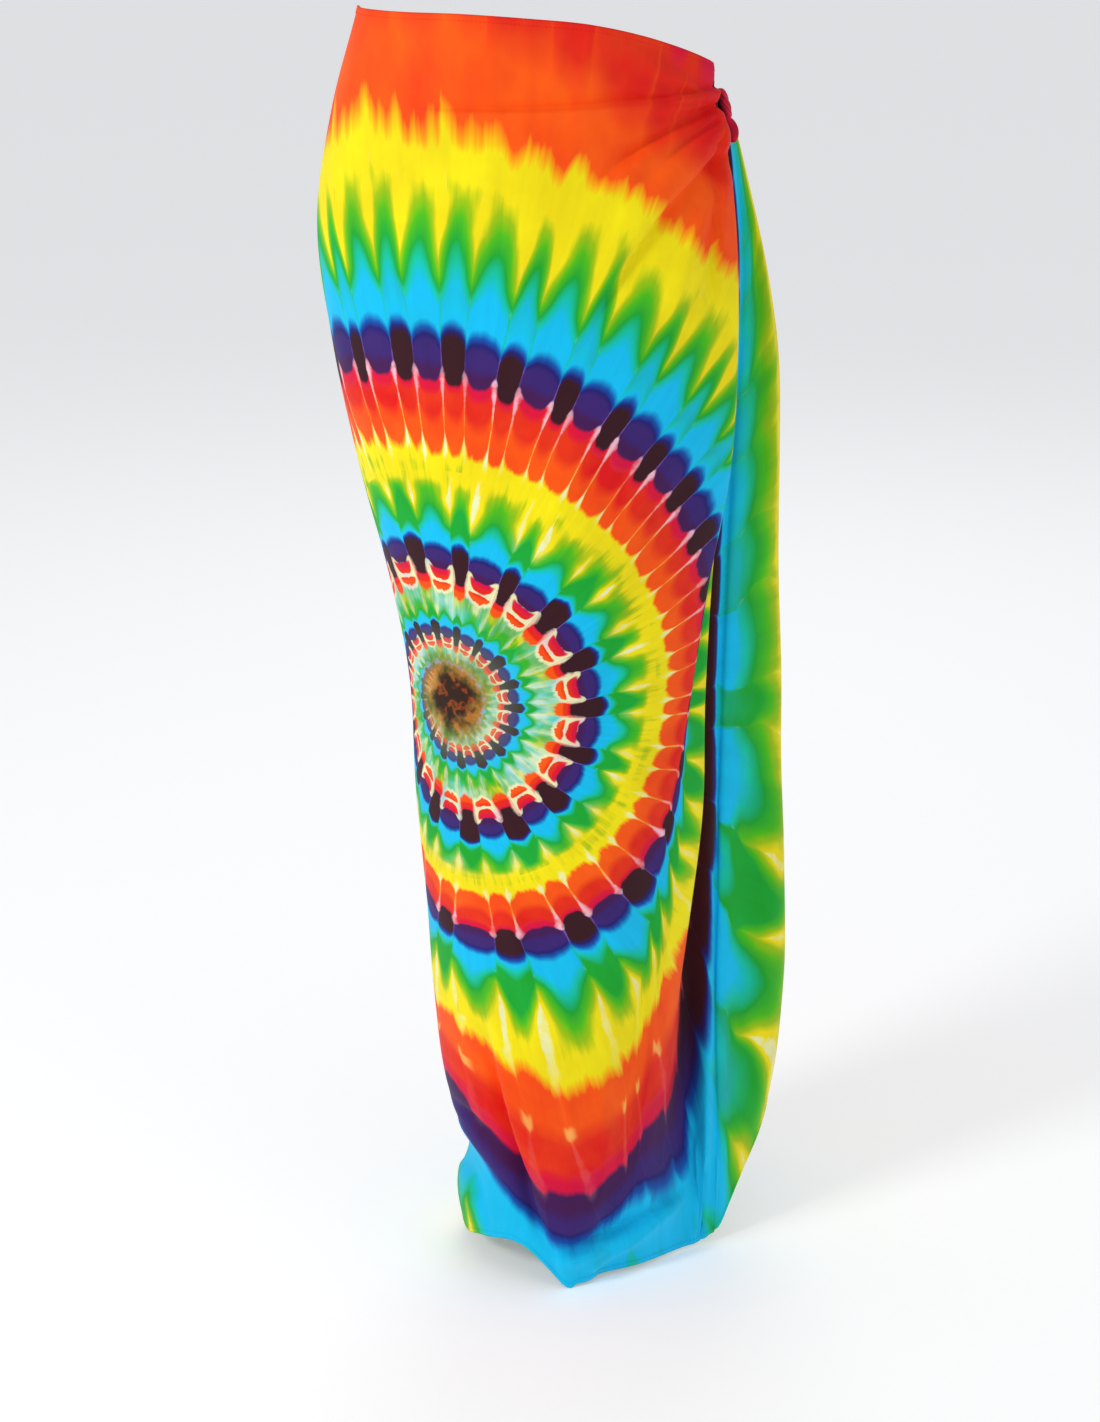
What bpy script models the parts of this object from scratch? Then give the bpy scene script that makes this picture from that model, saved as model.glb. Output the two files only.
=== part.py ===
"""A long sarong, wrapped round the hips and tied at the wearer's left side.

The part's frame: metres, +Z up, the wearer faces -Y, and the origin is the
middle of the waist, where the wearer's body holds the wrap.
"""
import math

import bpy
import numpy as np
from mathutils import Matrix, Vector
from mathutils.bvhtree import BVHTree

# Driving sizes
CLOTH = 0.0015
SEAM_GAP = 0.0003
# Rows down the outer cloth: share of its length, and rows in that share
ROW_BANDS = ((0.24, 18), (0.60, 17), (0.16, 10))
BACK_ROWS = 30
BACK_COLUMNS = 24

# The cloth that shows from outside: left side, front, gathers under the knot,
# then the free end that hangs as a cascade. Each row is one level cut.
# left: x of the left side. front: y of the front. mid: x where the front is deepest.
# Then x and y of the crest and valley of each fold towards the knot.
FRONT_COLUMNS = ("z", "left", "front", "mid", "crest1_x", "crest1_y", "valley1_x", "valley1_y",
                 "crest2_x", "crest2_y", "valley2_x", "valley2_y")
FRONT_SECTIONS = (
    (0.000, -0.138, -0.098, 0.000, 0.136, -0.042, 0.1395, -0.0350, 0.1420, -0.027, 0.1425, -0.018),
    (-0.080, -0.161, -0.106, 0.000, 0.150, -0.046, 0.1480, -0.0360, 0.1510, -0.028, 0.1490, -0.018),
    (-0.170, -0.175, -0.114, 0.002, 0.165, -0.048, 0.1580, -0.0370, 0.1640, -0.029, 0.1580, -0.018),
    (-0.270, -0.165, -0.117, 0.004, 0.168, -0.049, 0.1565, -0.0370, 0.1640, -0.029, 0.1540, -0.017),
    (-0.370, -0.146, -0.116, 0.006, 0.165, -0.049, 0.1510, -0.0370, 0.1600, -0.028, 0.1470, -0.015),
    (-0.470, -0.121, -0.113, 0.008, 0.148, -0.048, 0.1400, -0.0380, 0.1530, -0.026, 0.1420, -0.012),
    (-0.570, -0.105, -0.110, 0.010, 0.133, -0.054, 0.1350, -0.0430, 0.1500, -0.027, 0.1395, -0.010),
    (-0.660, -0.102, -0.108, 0.012, 0.118, -0.068, 0.1320, -0.0520, 0.1490, -0.030, 0.1370, -0.009),
    (-0.760, -0.094, -0.107, 0.016, 0.102, -0.077, 0.1220, -0.0610, 0.1405, -0.036, 0.1350, -0.008),
    (-0.860, -0.088, -0.106, 0.020, 0.088, -0.084, 0.1100, -0.0690, 0.1270, -0.046, 0.1350, -0.008),
    (-0.950, -0.077, -0.105, 0.024, 0.078, -0.087, 0.1000, -0.0730, 0.1160, -0.054, 0.1390, -0.011),
    (-1.009, -0.058, -0.105, 0.027, 0.070, -0.087, 0.0930, -0.0750, 0.1100, -0.061, 0.1440, -0.019),
    (-1.050, -0.069, -0.108, 0.029, 0.066, -0.088, 0.0890, -0.0770, 0.1080, -0.066, 0.1460, -0.028),
    (-1.100, -0.060, -0.104, 0.029, 0.062, -0.087, 0.0860, -0.0760, 0.1060, -0.064, 0.1440, -0.032),
)
CASCADE_COLUMNS = ("z", "crest3_x", "crest3_y", "dip_x", "dip_y", "crest4_x", "crest4_y",
                   "side_x", "side_y", "corner_x", "corner_y", "edge_x", "edge_y")
CASCADE_SECTIONS = (
    (-0.080, 0.1570, -0.013, 0.1590, -0.007, 0.162, -0.003, 0.163, 0.006, 0.162, 0.014, 0.159, 0.021),
    (-0.120, 0.1640, -0.013, 0.1660, -0.005, 0.170, 0.000, 0.174, 0.010, 0.172, 0.024, 0.168, 0.036),
    (-0.170, 0.1690, -0.012, 0.1710, -0.003, 0.178, 0.002, 0.186, 0.016, 0.184, 0.038, 0.176, 0.058),
    (-0.270, 0.1700, -0.010, 0.1730, 0.000, 0.182, 0.004, 0.207, 0.028, 0.200, 0.064, 0.176, 0.092),
    (-0.370, 0.1620, -0.008, 0.1680, 0.002, 0.181, 0.004, 0.212, 0.034, 0.203, 0.076, 0.168, 0.108),
    (-0.470, 0.1580, -0.009, 0.1650, 0.000, 0.177, 0.001, 0.214, 0.035, 0.204, 0.082, 0.160, 0.112),
    (-0.570, 0.1570, -0.010, 0.1630, -0.001, 0.175, -0.001, 0.218, 0.035, 0.207, 0.084, 0.155, 0.112),
    (-0.660, 0.1570, -0.012, 0.1630, -0.002, 0.174, -0.002, 0.222, 0.035, 0.210, 0.086, 0.153, 0.112),
    (-0.760, 0.1570, -0.014, 0.1630, -0.003, 0.174, -0.003, 0.226, 0.035, 0.213, 0.088, 0.152, 0.112),
    (-0.860, 0.1570, -0.018, 0.1635, -0.006, 0.174, -0.005, 0.229, 0.036, 0.216, 0.089, 0.152, 0.112),
    (-0.950, 0.1570, -0.024, 0.1650, -0.012, 0.175, -0.009, 0.222, 0.036, 0.214, 0.088, 0.152, 0.110),
    (-1.009, 0.1570, -0.029, 0.1660, -0.017, 0.177, -0.013, 0.211, 0.032, 0.208, 0.084, 0.150, 0.106),
    (-1.100, 0.1550, -0.028, 0.1640, -0.018, 0.174, -0.013, 0.195, 0.022, 0.196, 0.072, 0.146, 0.098),
)
# The hidden part: left side, back, right side, then in under the front as the inner overlap.
BACK_COLUMNS_NAMED = ("z", "back", "right", "end_x", "end_y")
BACK_SECTIONS = (
    (0.000, 0.098, 0.1330, 0.076, -0.0700),
    (-0.080, 0.112, 0.1400, 0.082, -0.0780),
    (-0.170, 0.124, 0.1490, 0.088, -0.0860),
    (-0.270, 0.122, 0.1450, 0.088, -0.0880),
    (-0.370, 0.112, 0.1380, 0.084, -0.0870),
    (-0.470, 0.101, 0.1320, 0.078, -0.0860),
    (-0.570, 0.094, 0.1290, 0.072, -0.0840),
    (-0.660, 0.091, 0.1260, 0.066, -0.0820),
    (-0.760, 0.090, 0.1235, 0.062, -0.0800),
    (-0.860, 0.090, 0.1210, 0.058, -0.0790),
    (-0.950, 0.091, 0.1190, 0.056, -0.0780),
    (-1.009, 0.091, 0.1180, 0.055, -0.0770),
    (-1.100, 0.090, 0.1170, 0.054, -0.0760),
)
# The top edge and the hem, where each station of the outer cloth has them.
STATION_COLUMNS = ("station", "cells", "top", "hem")
FRONT_STATIONS = (
    ("left", 4, 0.000, -1.086),
    ("left_front_1", 4, 0.000, -1.080),
    ("left_front_2", 4, 0.000, -1.064),
    ("left_front_3", 4, 0.000, -1.062),
    ("mid", 4, -0.003, -1.0985),
    ("right_front_1", 5, -0.008, -1.0985),
    ("right_front_2", 5, -0.020, -1.0980),
    ("crest1", 2, -0.039, -1.0970),
    ("valley1", 2, -0.045, -1.0970),
    ("crest2", 4, -0.051, -1.0970),
    ("valley2", 0, -0.060, -1.0980),
)
CASCADE_STATIONS = (
    ("valley2", 4, -0.060, -1.0980),
    ("crest3", 2, -0.090, -1.0960),
    ("dip", 3, -0.091, -1.0920),
    ("crest4", 5, -0.092, -1.0800),
    ("side", 5, -0.094, -1.0100),
    ("corner", 4, -0.098, -0.9800),
    ("edge", 0, -0.104, -0.9600),
)
BACK_STATIONS = (
    ("left", 0.000, -1.086),
    ("left_back", -0.014, -1.084),
    ("back", -0.022, -1.082),
    ("right_back", -0.036, -1.080),
    ("right", -0.048, -1.078),
    ("overlap", -0.050, -1.076),
    ("end", -0.044, -1.076),
)
# Soft creases: from and to in x and z, how far the line sags, height out of the cloth, half width.
CREASE_COLUMNS = ("name", "x0", "z0", "x1", "z1", "sag", "height", "width")
FRONT_CREASES = (
    ("upper gather", 0.143, -0.076, 0.045, -0.132, 0.008, -0.0025, 0.012),
    ("middle gather", 0.148, -0.117, 0.056, -0.232, 0.006, -0.0030, 0.013),
    ("gather ridge", 0.146, -0.096, 0.060, -0.180, 0.006, 0.0025, 0.013),
    ("side pleat", 0.150, -0.100, 0.147, -0.240, 0.000, -0.0030, 0.008),
    ("shin fold", -0.030, -0.869, 0.029, -1.099, 0.010, 0.0050, 0.014),
    ("shin trough", 0.000, -0.900, 0.052, -1.060, 0.008, -0.0040, 0.013),
    ("ankle trough", -0.062, -0.954, 0.004, -1.012, -0.004, -0.0045, 0.013),
)
BACK_FOLD_COLUMNS = ("angle", "starts", "depth", "width")
BACK_FOLDS = (
    (152.0, -0.30, 0.0050, 11.0),
    (118.0, -0.24, 0.0070, 12.0),
    (84.0, -0.27, 0.0060, 11.0),
    (52.0, -0.22, 0.0075, 12.0),
)
BACK_FOLD_GROWS_OVER = 0.45
# Where the right side of the back is widest, and how soon it turns in under the front
RIGHT_SIDE_Y = 0.012
OVERLAP_BEND = 0.60
# Step in t and v over which a surface's direction is read
PROBE = 0.001

# The knot, and the short end that hangs out of it
KNOT_AT = (0.1545, -0.0215, -0.0750)
KNOT_RADII = (0.0042, 0.0085, 0.0105)
KNOT_RINGS = 16
KNOT_SIDES = 20
KNOT_FURROW = 0.0008
KNOT_TURNS = 2.5
END_COLUMNS = ("x", "y", "z", "half_width", "half_thick")
KNOT_END = (
    (0.1560, -0.0225, -0.0855, 0.0030, 0.0019),
    (0.1575, -0.0228, -0.0895, 0.0042, 0.0023),
    (0.1598, -0.0226, -0.0940, 0.0042, 0.0022),
    (0.1624, -0.0222, -0.0985, 0.0030, 0.0020),
    (0.1645, -0.0217, -0.1030, 0.0014, 0.0014),
)
END_STEPS = 16
END_SIDES = 14

COLOURS = {
    "front_wrap": (0.80, 0.20, 0.04, 1.0),
    "back_wrap": (0.05, 0.35, 0.70, 1.0),
    "cascade": (0.02, 0.50, 0.35, 1.0),
    "knot": (0.62, 0.02, 0.08, 1.0),
    "knot_end": (0.62, 0.02, 0.08, 1.0),
}


def smooth_table(rows, values, at):
    """A smooth curve through the rows' values, read at any heights."""
    rows = np.asarray(rows, float)
    values = np.asarray(values, float)
    order = np.argsort(rows)
    rows = rows[order]
    values = values[order]
    slopes = np.gradient(values, rows)
    at = np.clip(at, rows[0], rows[-1])
    index = np.clip(np.searchsorted(rows, at) - 1, 0, len(rows) - 2)
    step = rows[index + 1] - rows[index]
    u = (at - rows[index]) / step
    start = (1 + 2 * u) * (1 - u) ** 2 * values[index]
    leave = u * (1 - u) ** 2 * step * slopes[index]
    end = u * u * (3 - 2 * u) * values[index + 1]
    arrive = u * u * (u - 1) * step * slopes[index + 1]
    return start + leave + end + arrive


def section_reader(columns, sections):
    """A function that gives a named column at any heights."""
    table = np.array(sections, float)

    def read(name, z):
        return smooth_table(table[:, 0], table[:, columns.index(name)], z)

    return read


def along(stations, t, start=None):
    """A smooth curve through the stations' arrays, at t counted in stations.

    start is the sign that the second station takes on when it is mirrored to
    stand before the first: 1 for x and -1 for y, so that the curve leaves
    the left side square. With none, the curve runs straight on.
    """
    last = len(stations) - 1
    index = np.clip(np.floor(t).astype(int), 0, last - 1)
    u = t - index
    grid = np.stack(stations)
    pick = np.arange(grid.shape[1])
    before = 2 * grid[0] - grid[1] if start is None else start * grid[1]
    after = 2 * grid[last] - grid[last - 1]

    def station(offset):
        wanted = index + offset
        inside = grid[np.clip(wanted, 0, last), pick]
        return np.where(wanted < 0, before, np.where(wanted > last, after, inside))

    p0, p1, p2, p3 = station(-1), station(0), station(1), station(2)
    return 0.5 * (2 * p1 + (p2 - p0) * u + (2 * p0 - 5 * p1 + 4 * p2 - p3) * u ** 2
                  + (3 * p1 - p0 - 3 * p2 + p3) * u ** 3)


def stations_in_t(rows):
    """Column places, counted in stations, from the cells that each station has."""
    places = []
    for number, row in enumerate(rows[:-1]):
        cells = row[1]
        places.extend(number + step / cells for step in range(cells))
    places.append(float(len(rows) - 1))
    return np.array(places)


def row_places():
    """Row places from 0 at the top edge to 1 at the hem, close together at both ends."""
    places = [0.0]
    for share, rows in ROW_BANDS:
        start = places[-1]
        places.extend(start + share * (row + 1) / rows for row in range(rows))
    return np.array(places)


def between_edges(stations, t, v):
    """Heights at the places v from the top edge, 0, to the hem, 1."""
    tops = along([np.full(t.size, row[-2]) for row in stations], t)
    hems = along([np.full(t.size, row[-1]) for row in stations], t)
    return tops + (hems - tops) * v


READ_FRONT = section_reader(FRONT_COLUMNS, FRONT_SECTIONS)
READ_CASCADE = section_reader(CASCADE_COLUMNS, CASCADE_SECTIONS)
READ_BACK = section_reader(BACK_COLUMNS_NAMED, BACK_SECTIONS)


def outer_stations(z):
    """x and y of every station of the outer cloth, at heights z, left side to free edge."""
    left = READ_FRONT("left", z)
    front = READ_FRONT("front", z)
    mid = READ_FRONT("mid", z)
    crest_x = READ_FRONT("crest1_x", z)
    crest_y = READ_FRONT("crest1_y", z)
    points = []
    for angle in (0.0, 22.5, 45.0, 67.5, 90.0):
        turn = math.radians(angle)
        points.append((mid + (left - mid) * math.cos(turn), front * math.sin(turn)))
    for across, back in ((0.35, 0.094), (0.70, 0.42)):
        points.append((mid + (crest_x - mid) * across, front + (crest_y - front) * back))
    for name in ("crest1", "valley1", "crest2", "valley2"):
        points.append((READ_FRONT(name + "_x", z), READ_FRONT(name + "_y", z)))
    for name in ("crest3", "dip", "crest4", "side", "corner", "edge"):
        points.append((READ_CASCADE(name + "_x", z), READ_CASCADE(name + "_y", z)))
    return [p[0] for p in points], [p[1] for p in points]


def crease_height(x, z):
    """How far the soft creases lift the front out of its plain surface."""
    lift = np.zeros_like(x)
    for _name, x0, z0, x1, z1, sag, height, width in FRONT_CREASES:
        length = math.hypot(x1 - x0, z1 - z0)
        ux, uz = (x1 - x0) / length, (z1 - z0) / length
        run = ((x - x0) * ux + (z - z0) * uz) / length
        bow = sag * 4 * run * (1 - run)
        away = -(x - x0) * uz + (z - z0) * ux + bow
        fade = 1 / (1 + np.exp(-(run + 0.02) * 30)) * 1 / (1 + np.exp((run - 0.85) * 14))
        lift += height * np.exp(-(away / width) ** 2) * fade
    return lift


def outer_place(stations, first_station):
    """A function that gives points of the outer cloth at t, in stations, and v, from top to hem."""

    def place(t, v):
        z = between_edges(stations, t, v)
        xs, ys = outer_stations(z)
        whole = t + first_station
        return np.stack([along(xs, whole, 1), along(ys, whole, -1), z], axis=1)

    return place


def back_place(t, v):
    """Points of the back: left side, back, right side and the overlap in under the front."""
    z = between_edges(BACK_STATIONS, t, v)
    left = READ_FRONT("left", z)
    mid = READ_FRONT("mid", z)
    back, right, end_x, end_y = (READ_BACK(name, z) for name in BACK_COLUMNS_NAMED[1:])
    half = math.sqrt(0.5)
    xs = [left, mid + (left - mid) * half, mid, mid + (right - mid) * half, right,
          OVERLAP_BEND * right + (1 - OVERLAP_BEND) * end_x, end_x]
    ys = [0 * z, back * half, back, back * half, RIGHT_SIDE_Y + 0 * z, end_y * half, end_y]
    return np.stack([along(xs, t, 1), along(ys, t, -1), z], axis=1)


def sample(place, t_row, v_row, seams):
    """A grid of points on a surface and its normals out of the wrap.

    seams says how far the first and last column are moved in along the cloth.
    """
    tt, vv = np.meshgrid(t_row, v_row)
    t, v = tt.ravel(), vv.ravel()
    across = place(t + PROBE, v) - place(t - PROBE, v)
    down = place(t, v + PROBE) - place(t, v - PROBE)
    shape = (len(v_row), len(t_row), 3)
    normals = np.cross(down, across).reshape(shape)
    normals /= np.linalg.norm(normals, axis=2, keepdims=True)
    across = across.reshape(shape)
    across /= np.linalg.norm(across, axis=2, keepdims=True)
    grid = place(t, v).reshape(shape)
    grid[:, 0] += across[:, 0] * seams[0]
    grid[:, -1] -= across[:, -1] * seams[1]
    return grid, normals


def front_grid():
    grid, normals = sample(outer_place(FRONT_STATIONS, 0), stations_in_t(FRONT_STATIONS),
                           row_places(), (SEAM_GAP / 2, SEAM_GAP / 2))
    lift = crease_height(grid[..., 0], grid[..., 2])
    return grid + normals * lift[..., None], normals


def cascade_grid():
    place = outer_place(CASCADE_STATIONS, len(FRONT_STATIONS) - 1)
    return sample(place, stations_in_t(CASCADE_STATIONS), row_places(), (SEAM_GAP, 0.0))


def back_grid():
    t_row = np.linspace(0.0, len(BACK_STATIONS) - 1.0, BACK_COLUMNS + 1)
    v_row = np.linspace(0.0, 1.0, BACK_ROWS + 1)
    grid, normals = sample(back_place, t_row, v_row, (SEAM_GAP / 2, 0.0))
    angle = np.degrees(np.arctan2(grid[..., 1], grid[..., 0]))
    sunk = np.zeros_like(angle)
    for at, starts, depth, width in BACK_FOLDS:
        grown = np.clip((starts - grid[..., 2]) / BACK_FOLD_GROWS_OVER, 0.0, 1.0)
        sunk += depth * grown ** 2 * (3 - 2 * grown) * np.exp(-((angle - at) / width) ** 2)
    grid = grid + normals * sunk[..., None]
    return grid[:, ::-1], -normals[:, ::-1]


def add_mesh(name, points, faces):
    mesh = bpy.data.meshes.new(name)
    mesh.from_pydata([tuple(p) for p in points], [], faces)
    mesh.update()
    for face in mesh.polygons:
        face.use_smooth = True
    obj = bpy.data.objects.new(name, mesh)
    bpy.context.scene.collection.objects.link(obj)
    material = bpy.data.materials.new(name)
    material.use_nodes = True
    shader = material.node_tree.nodes["Principled BSDF"]
    shader.inputs["Base Color"].default_value = COLOURS[name]
    shader.inputs["Roughness"].default_value = 0.8
    mesh.materials.append(material)
    return obj


def add_wall(name, grid, normals):
    """A closed wall: the grid is its outer face, and its inner face lies one cloth further in."""
    inner = grid - normals * CLOTH
    rows, columns = grid.shape[:2]
    points = np.concatenate([grid.reshape(-1, 3), inner.reshape(-1, 3)])
    count = rows * columns

    def at(row, column, side):
        return side * count + row * columns + column

    faces = []
    for row in range(rows - 1):
        for column in range(columns - 1):
            near, below = (row, column), (row + 1, column)
            far, beside = (row + 1, column + 1), (row, column + 1)
            for corners in ((near, below, far), (near, far, beside)):
                faces.append(tuple(at(*corner, 0) for corner in corners))
                faces.append(tuple(at(*corner, 1) for corner in reversed(corners)))
    rim = [(0, c) for c in range(columns - 1)]
    rim += [(r, columns - 1) for r in range(rows - 1)]
    rim += [(rows - 1, c) for c in range(columns - 1, 0, -1)]
    rim += [(r, 0) for r in range(rows - 1, 0, -1)]
    for this, after in zip(rim, rim[1:] + rim[:1]):
        faces.append((at(*this, 0), at(*after, 0), at(*after, 1), at(*this, 1)))
    return add_mesh(name, points, faces)


def capped_tube(name, rings):
    """A closed body through rings of points, with a fan at each end."""
    sides = len(rings[0])
    points = [p for ring in rings for p in ring]
    faces = []
    for ring in range(len(rings) - 1):
        for side in range(sides):
            after = (side + 1) % sides
            a = ring * sides
            b = a + sides
            faces.append((a + side, a + after, b + after, b + side))
    for ring, flip in ((0, True), (len(rings) - 1, False)):
        middle = len(points)
        points.append(np.mean(rings[ring], axis=0))
        for side in range(sides):
            corner = (ring * sides + side, ring * sides + (side + 1) % sides, middle)
            faces.append(corner[::-1] if flip else corner)
    return add_mesh(name, points, faces)


def knot_rings():
    """An egg-shaped lump with a furrow wound round it, as twisted cloth has."""
    rings = []
    for ring in range(1, KNOT_RINGS):
        polar = math.pi * ring / KNOT_RINGS
        points = []
        for side in range(KNOT_SIDES):
            turn = 2 * math.pi * side / KNOT_SIDES
            furrow = KNOT_FURROW * math.cos(2 * turn + KNOT_TURNS * 2 * math.pi * ring / KNOT_RINGS)
            swell = 1.0 - furrow / KNOT_RADII[0] * math.sin(polar)
            points.append((
                KNOT_AT[0] + KNOT_RADII[0] * swell * math.sin(polar) * math.cos(turn),
                KNOT_AT[1] + KNOT_RADII[1] * swell * math.cos(polar),
                KNOT_AT[2] + KNOT_RADII[2] * swell * math.sin(polar) * math.sin(turn),
            ))
        rings.append(np.array(points))
    return rings


def end_rings():
    """Rings of the short end, from the knot to its tip."""
    table = np.array(KNOT_END)
    at = np.linspace(0.0, len(table) - 1.0, END_STEPS + 1)
    path = np.stack([along([np.full(at.size, v) for v in table[:, c]], at) for c in range(len(END_COLUMNS))], axis=1)
    rings = []
    for x, y, z, half_width, half_thick in path:
        ring = []
        for side in range(END_SIDES):
            turn = 2 * math.pi * side / END_SIDES
            ring.append((x + half_width * math.cos(turn), y - half_thick * math.sin(turn), z))
        rings.append(np.array(ring))
    return rings


def tree_of(obj):
    mesh = obj.data
    return BVHTree.FromPolygons([v.co.copy() for v in mesh.vertices],
                                [tuple(p.vertices) for p in mesh.polygons])


def is_clear(obj, others, gap):
    """Whether the object keeps at least the gap from all the others, and crosses none."""
    tree = tree_of(obj)
    for other in others:
        other_tree = tree_of(other)
        if tree.overlap(other_tree):
            return False
        if any(other_tree.find_nearest(v.co, gap)[0] for v in obj.data.vertices):
            return False
        if any(tree.find_nearest(v.co, gap)[0] for v in other.data.vertices):
            return False
    return True


def seat(obj, others, direction, reach=0.02, tries=11):
    """Moves the object along a direction to where it just keeps one seam gap from the others."""
    way = Vector(direction).normalized()
    inside, outside, now = -reach, reach, 0.0
    for _ in range(tries):
        middle = (inside + outside) / 2
        obj.data.transform(Matrix.Translation(way * (middle - now)))
        now = middle
        if is_clear(obj, others, SEAM_GAP):
            outside = middle
        else:
            inside = middle
    obj.data.transform(Matrix.Translation(way * (outside - now)))


def build():
    for obj in list(bpy.data.objects):
        bpy.data.objects.remove(obj)
    front = add_wall("front_wrap", *front_grid())
    add_wall("back_wrap", *back_grid())
    cascade = add_wall("cascade", *cascade_grid())
    knot = capped_tube("knot", knot_rings())
    seat(knot, [front, cascade], (1.0, 0.0, 0.0))
    end = capped_tube("knot_end", end_rings())
    seat(end, [knot, cascade], (0.2, -0.6, -0.77))


build()
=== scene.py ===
"""A rainbow spiral tie-dye sarong, wrapped round the hips and tied at one side.

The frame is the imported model's: metres, +Z up, the wearer faces -Y, and the
origin is the middle of the waist. The cloth is modelled as one long sheet that
runs from its inner end, round the back and the front, into the gathers under
the knot and down the free end.
"""
from __future__ import annotations

import logging
import math
from dataclasses import dataclass, field
from enum import Enum
from typing import Callable, Union

import bmesh
import bpy
import numpy as np
from mathutils import Matrix, Vector

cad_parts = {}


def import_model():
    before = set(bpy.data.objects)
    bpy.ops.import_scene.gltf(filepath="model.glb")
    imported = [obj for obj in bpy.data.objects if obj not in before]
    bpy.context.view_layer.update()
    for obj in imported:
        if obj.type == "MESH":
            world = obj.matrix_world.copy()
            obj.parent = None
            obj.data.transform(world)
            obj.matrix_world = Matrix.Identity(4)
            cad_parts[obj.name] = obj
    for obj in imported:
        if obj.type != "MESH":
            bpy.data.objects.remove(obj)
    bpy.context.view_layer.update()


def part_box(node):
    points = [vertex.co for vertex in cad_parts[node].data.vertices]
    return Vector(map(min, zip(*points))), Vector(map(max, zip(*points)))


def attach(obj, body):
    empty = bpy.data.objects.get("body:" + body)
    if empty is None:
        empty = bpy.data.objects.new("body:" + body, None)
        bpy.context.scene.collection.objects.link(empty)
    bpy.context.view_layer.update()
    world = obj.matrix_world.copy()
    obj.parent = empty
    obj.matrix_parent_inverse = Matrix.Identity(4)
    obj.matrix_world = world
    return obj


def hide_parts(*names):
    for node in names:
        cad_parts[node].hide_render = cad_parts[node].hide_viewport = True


LOG = logging.getLogger("sarong")
Array = np.ndarray
Colour = tuple[float, float, float]
Stops = tuple[tuple[float, Colour], ...]
Curve = tuple[tuple[float, float], ...]
Fade = tuple[float, float]
Window = tuple[float, float, float, float]
Span = tuple[float, float, float, float]
Line = tuple[float, float]
Noise = tuple[float, float, float]
Socket = bpy.types.NodeSocket
Value = Union[Socket, float]


def smooth_step(low: float, high: float, value: Array) -> Array:
    """Rises smoothly from 0 at low to 1 at high."""
    share = np.clip((value - low) / (high - low), 0.0, 1.0)
    return share * share * (3.0 - 2.0 * share)


def bell(value: Array) -> Array:
    """A rounded bump, 1 at 0 and nearly 0 beyond 2."""
    return np.exp(-np.clip(value ** 2, 0.0, 60.0))


def run_lengths(points: Array, axis: int) -> Array:
    """Distances along one axis of a grid of points, from its first row or column."""
    steps = np.linalg.norm(np.diff(points, axis=axis), axis=-1)
    start = np.zeros_like(np.take(steps, [0], axis=axis))
    return np.concatenate([start, np.cumsum(steps, axis=axis)], axis=axis)


@dataclass(frozen=True)
class SectionTable:
    """Level cuts of the wrap: named columns, and one row for each height."""

    columns: tuple[str, ...]
    rows: tuple[tuple[float, ...], ...]

    def read(self, name: str, z: Array) -> Array:
        """Reads a column as a smooth curve.

        Args:
            name: the column's name.
            z: the heights at which it is wanted.

        Returns:
            The column's values at those heights.
        """
        table = np.array(self.rows, float)[::-1]
        heights = table[:, 0]
        values = table[:, self.columns.index(name)]
        slopes = np.gradient(values, heights)
        at = np.clip(z, heights[0], heights[-1])
        index = np.clip(np.searchsorted(heights, at) - 1, 0, len(heights) - 2)
        step = heights[index + 1] - heights[index]
        u = (at - heights[index]) / step
        return ((1 + 2 * u) * (1 - u) ** 2 * values[index]
                + u * (1 - u) ** 2 * step * slopes[index]
                + u * u * (3 - 2 * u) * values[index + 1]
                + u * u * (u - 1) * step * slopes[index + 1])


@dataclass(frozen=True)
class Station:
    """A line down the cloth: its name, cells to the next one, top edge and hem."""

    name: str
    cells: int
    top: float
    hem: float


def along(stations: list[Array], t: Array, mirror: float | None = None) -> Array:
    """Follows a smooth curve through the stations' values.

    Args:
        stations: one array of values for each station.
        t: places along the curve, counted in stations.
        mirror: 1 or -1 where the curve leaves its first station square to
            the wrap's side, as x and y do, or None where it runs straight on.

    Returns:
        The values at t.
    """
    last = len(stations) - 1
    index = np.clip(np.floor(t).astype(int), 0, last - 1)
    u = t - index
    grid = np.stack(stations)
    pick = np.arange(grid.shape[1])
    before = 2 * grid[0] - grid[1] if mirror is None else mirror * grid[1]
    after = 2 * grid[last] - grid[last - 1]

    def value(offset: int) -> Array:
        """The value at a station near each place."""
        wanted = index + offset
        inside = grid[np.clip(wanted, 0, last), pick]
        return np.where(wanted < 0, before, np.where(wanted > last, after, inside))

    p0, p1, p2, p3 = value(-1), value(0), value(1), value(2)
    return 0.5 * (2 * p1 + (p2 - p0) * u + (2 * p0 - 5 * p1 + 4 * p2 - p3) * u ** 2
                  + (3 * p1 - p0 - 3 * p2 + p3) * u ** 3)


class Stretch(Enum):
    """The two stretches of the one cloth that are modelled as sheets."""

    OUTER = "outer"
    BACK = "back"


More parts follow.
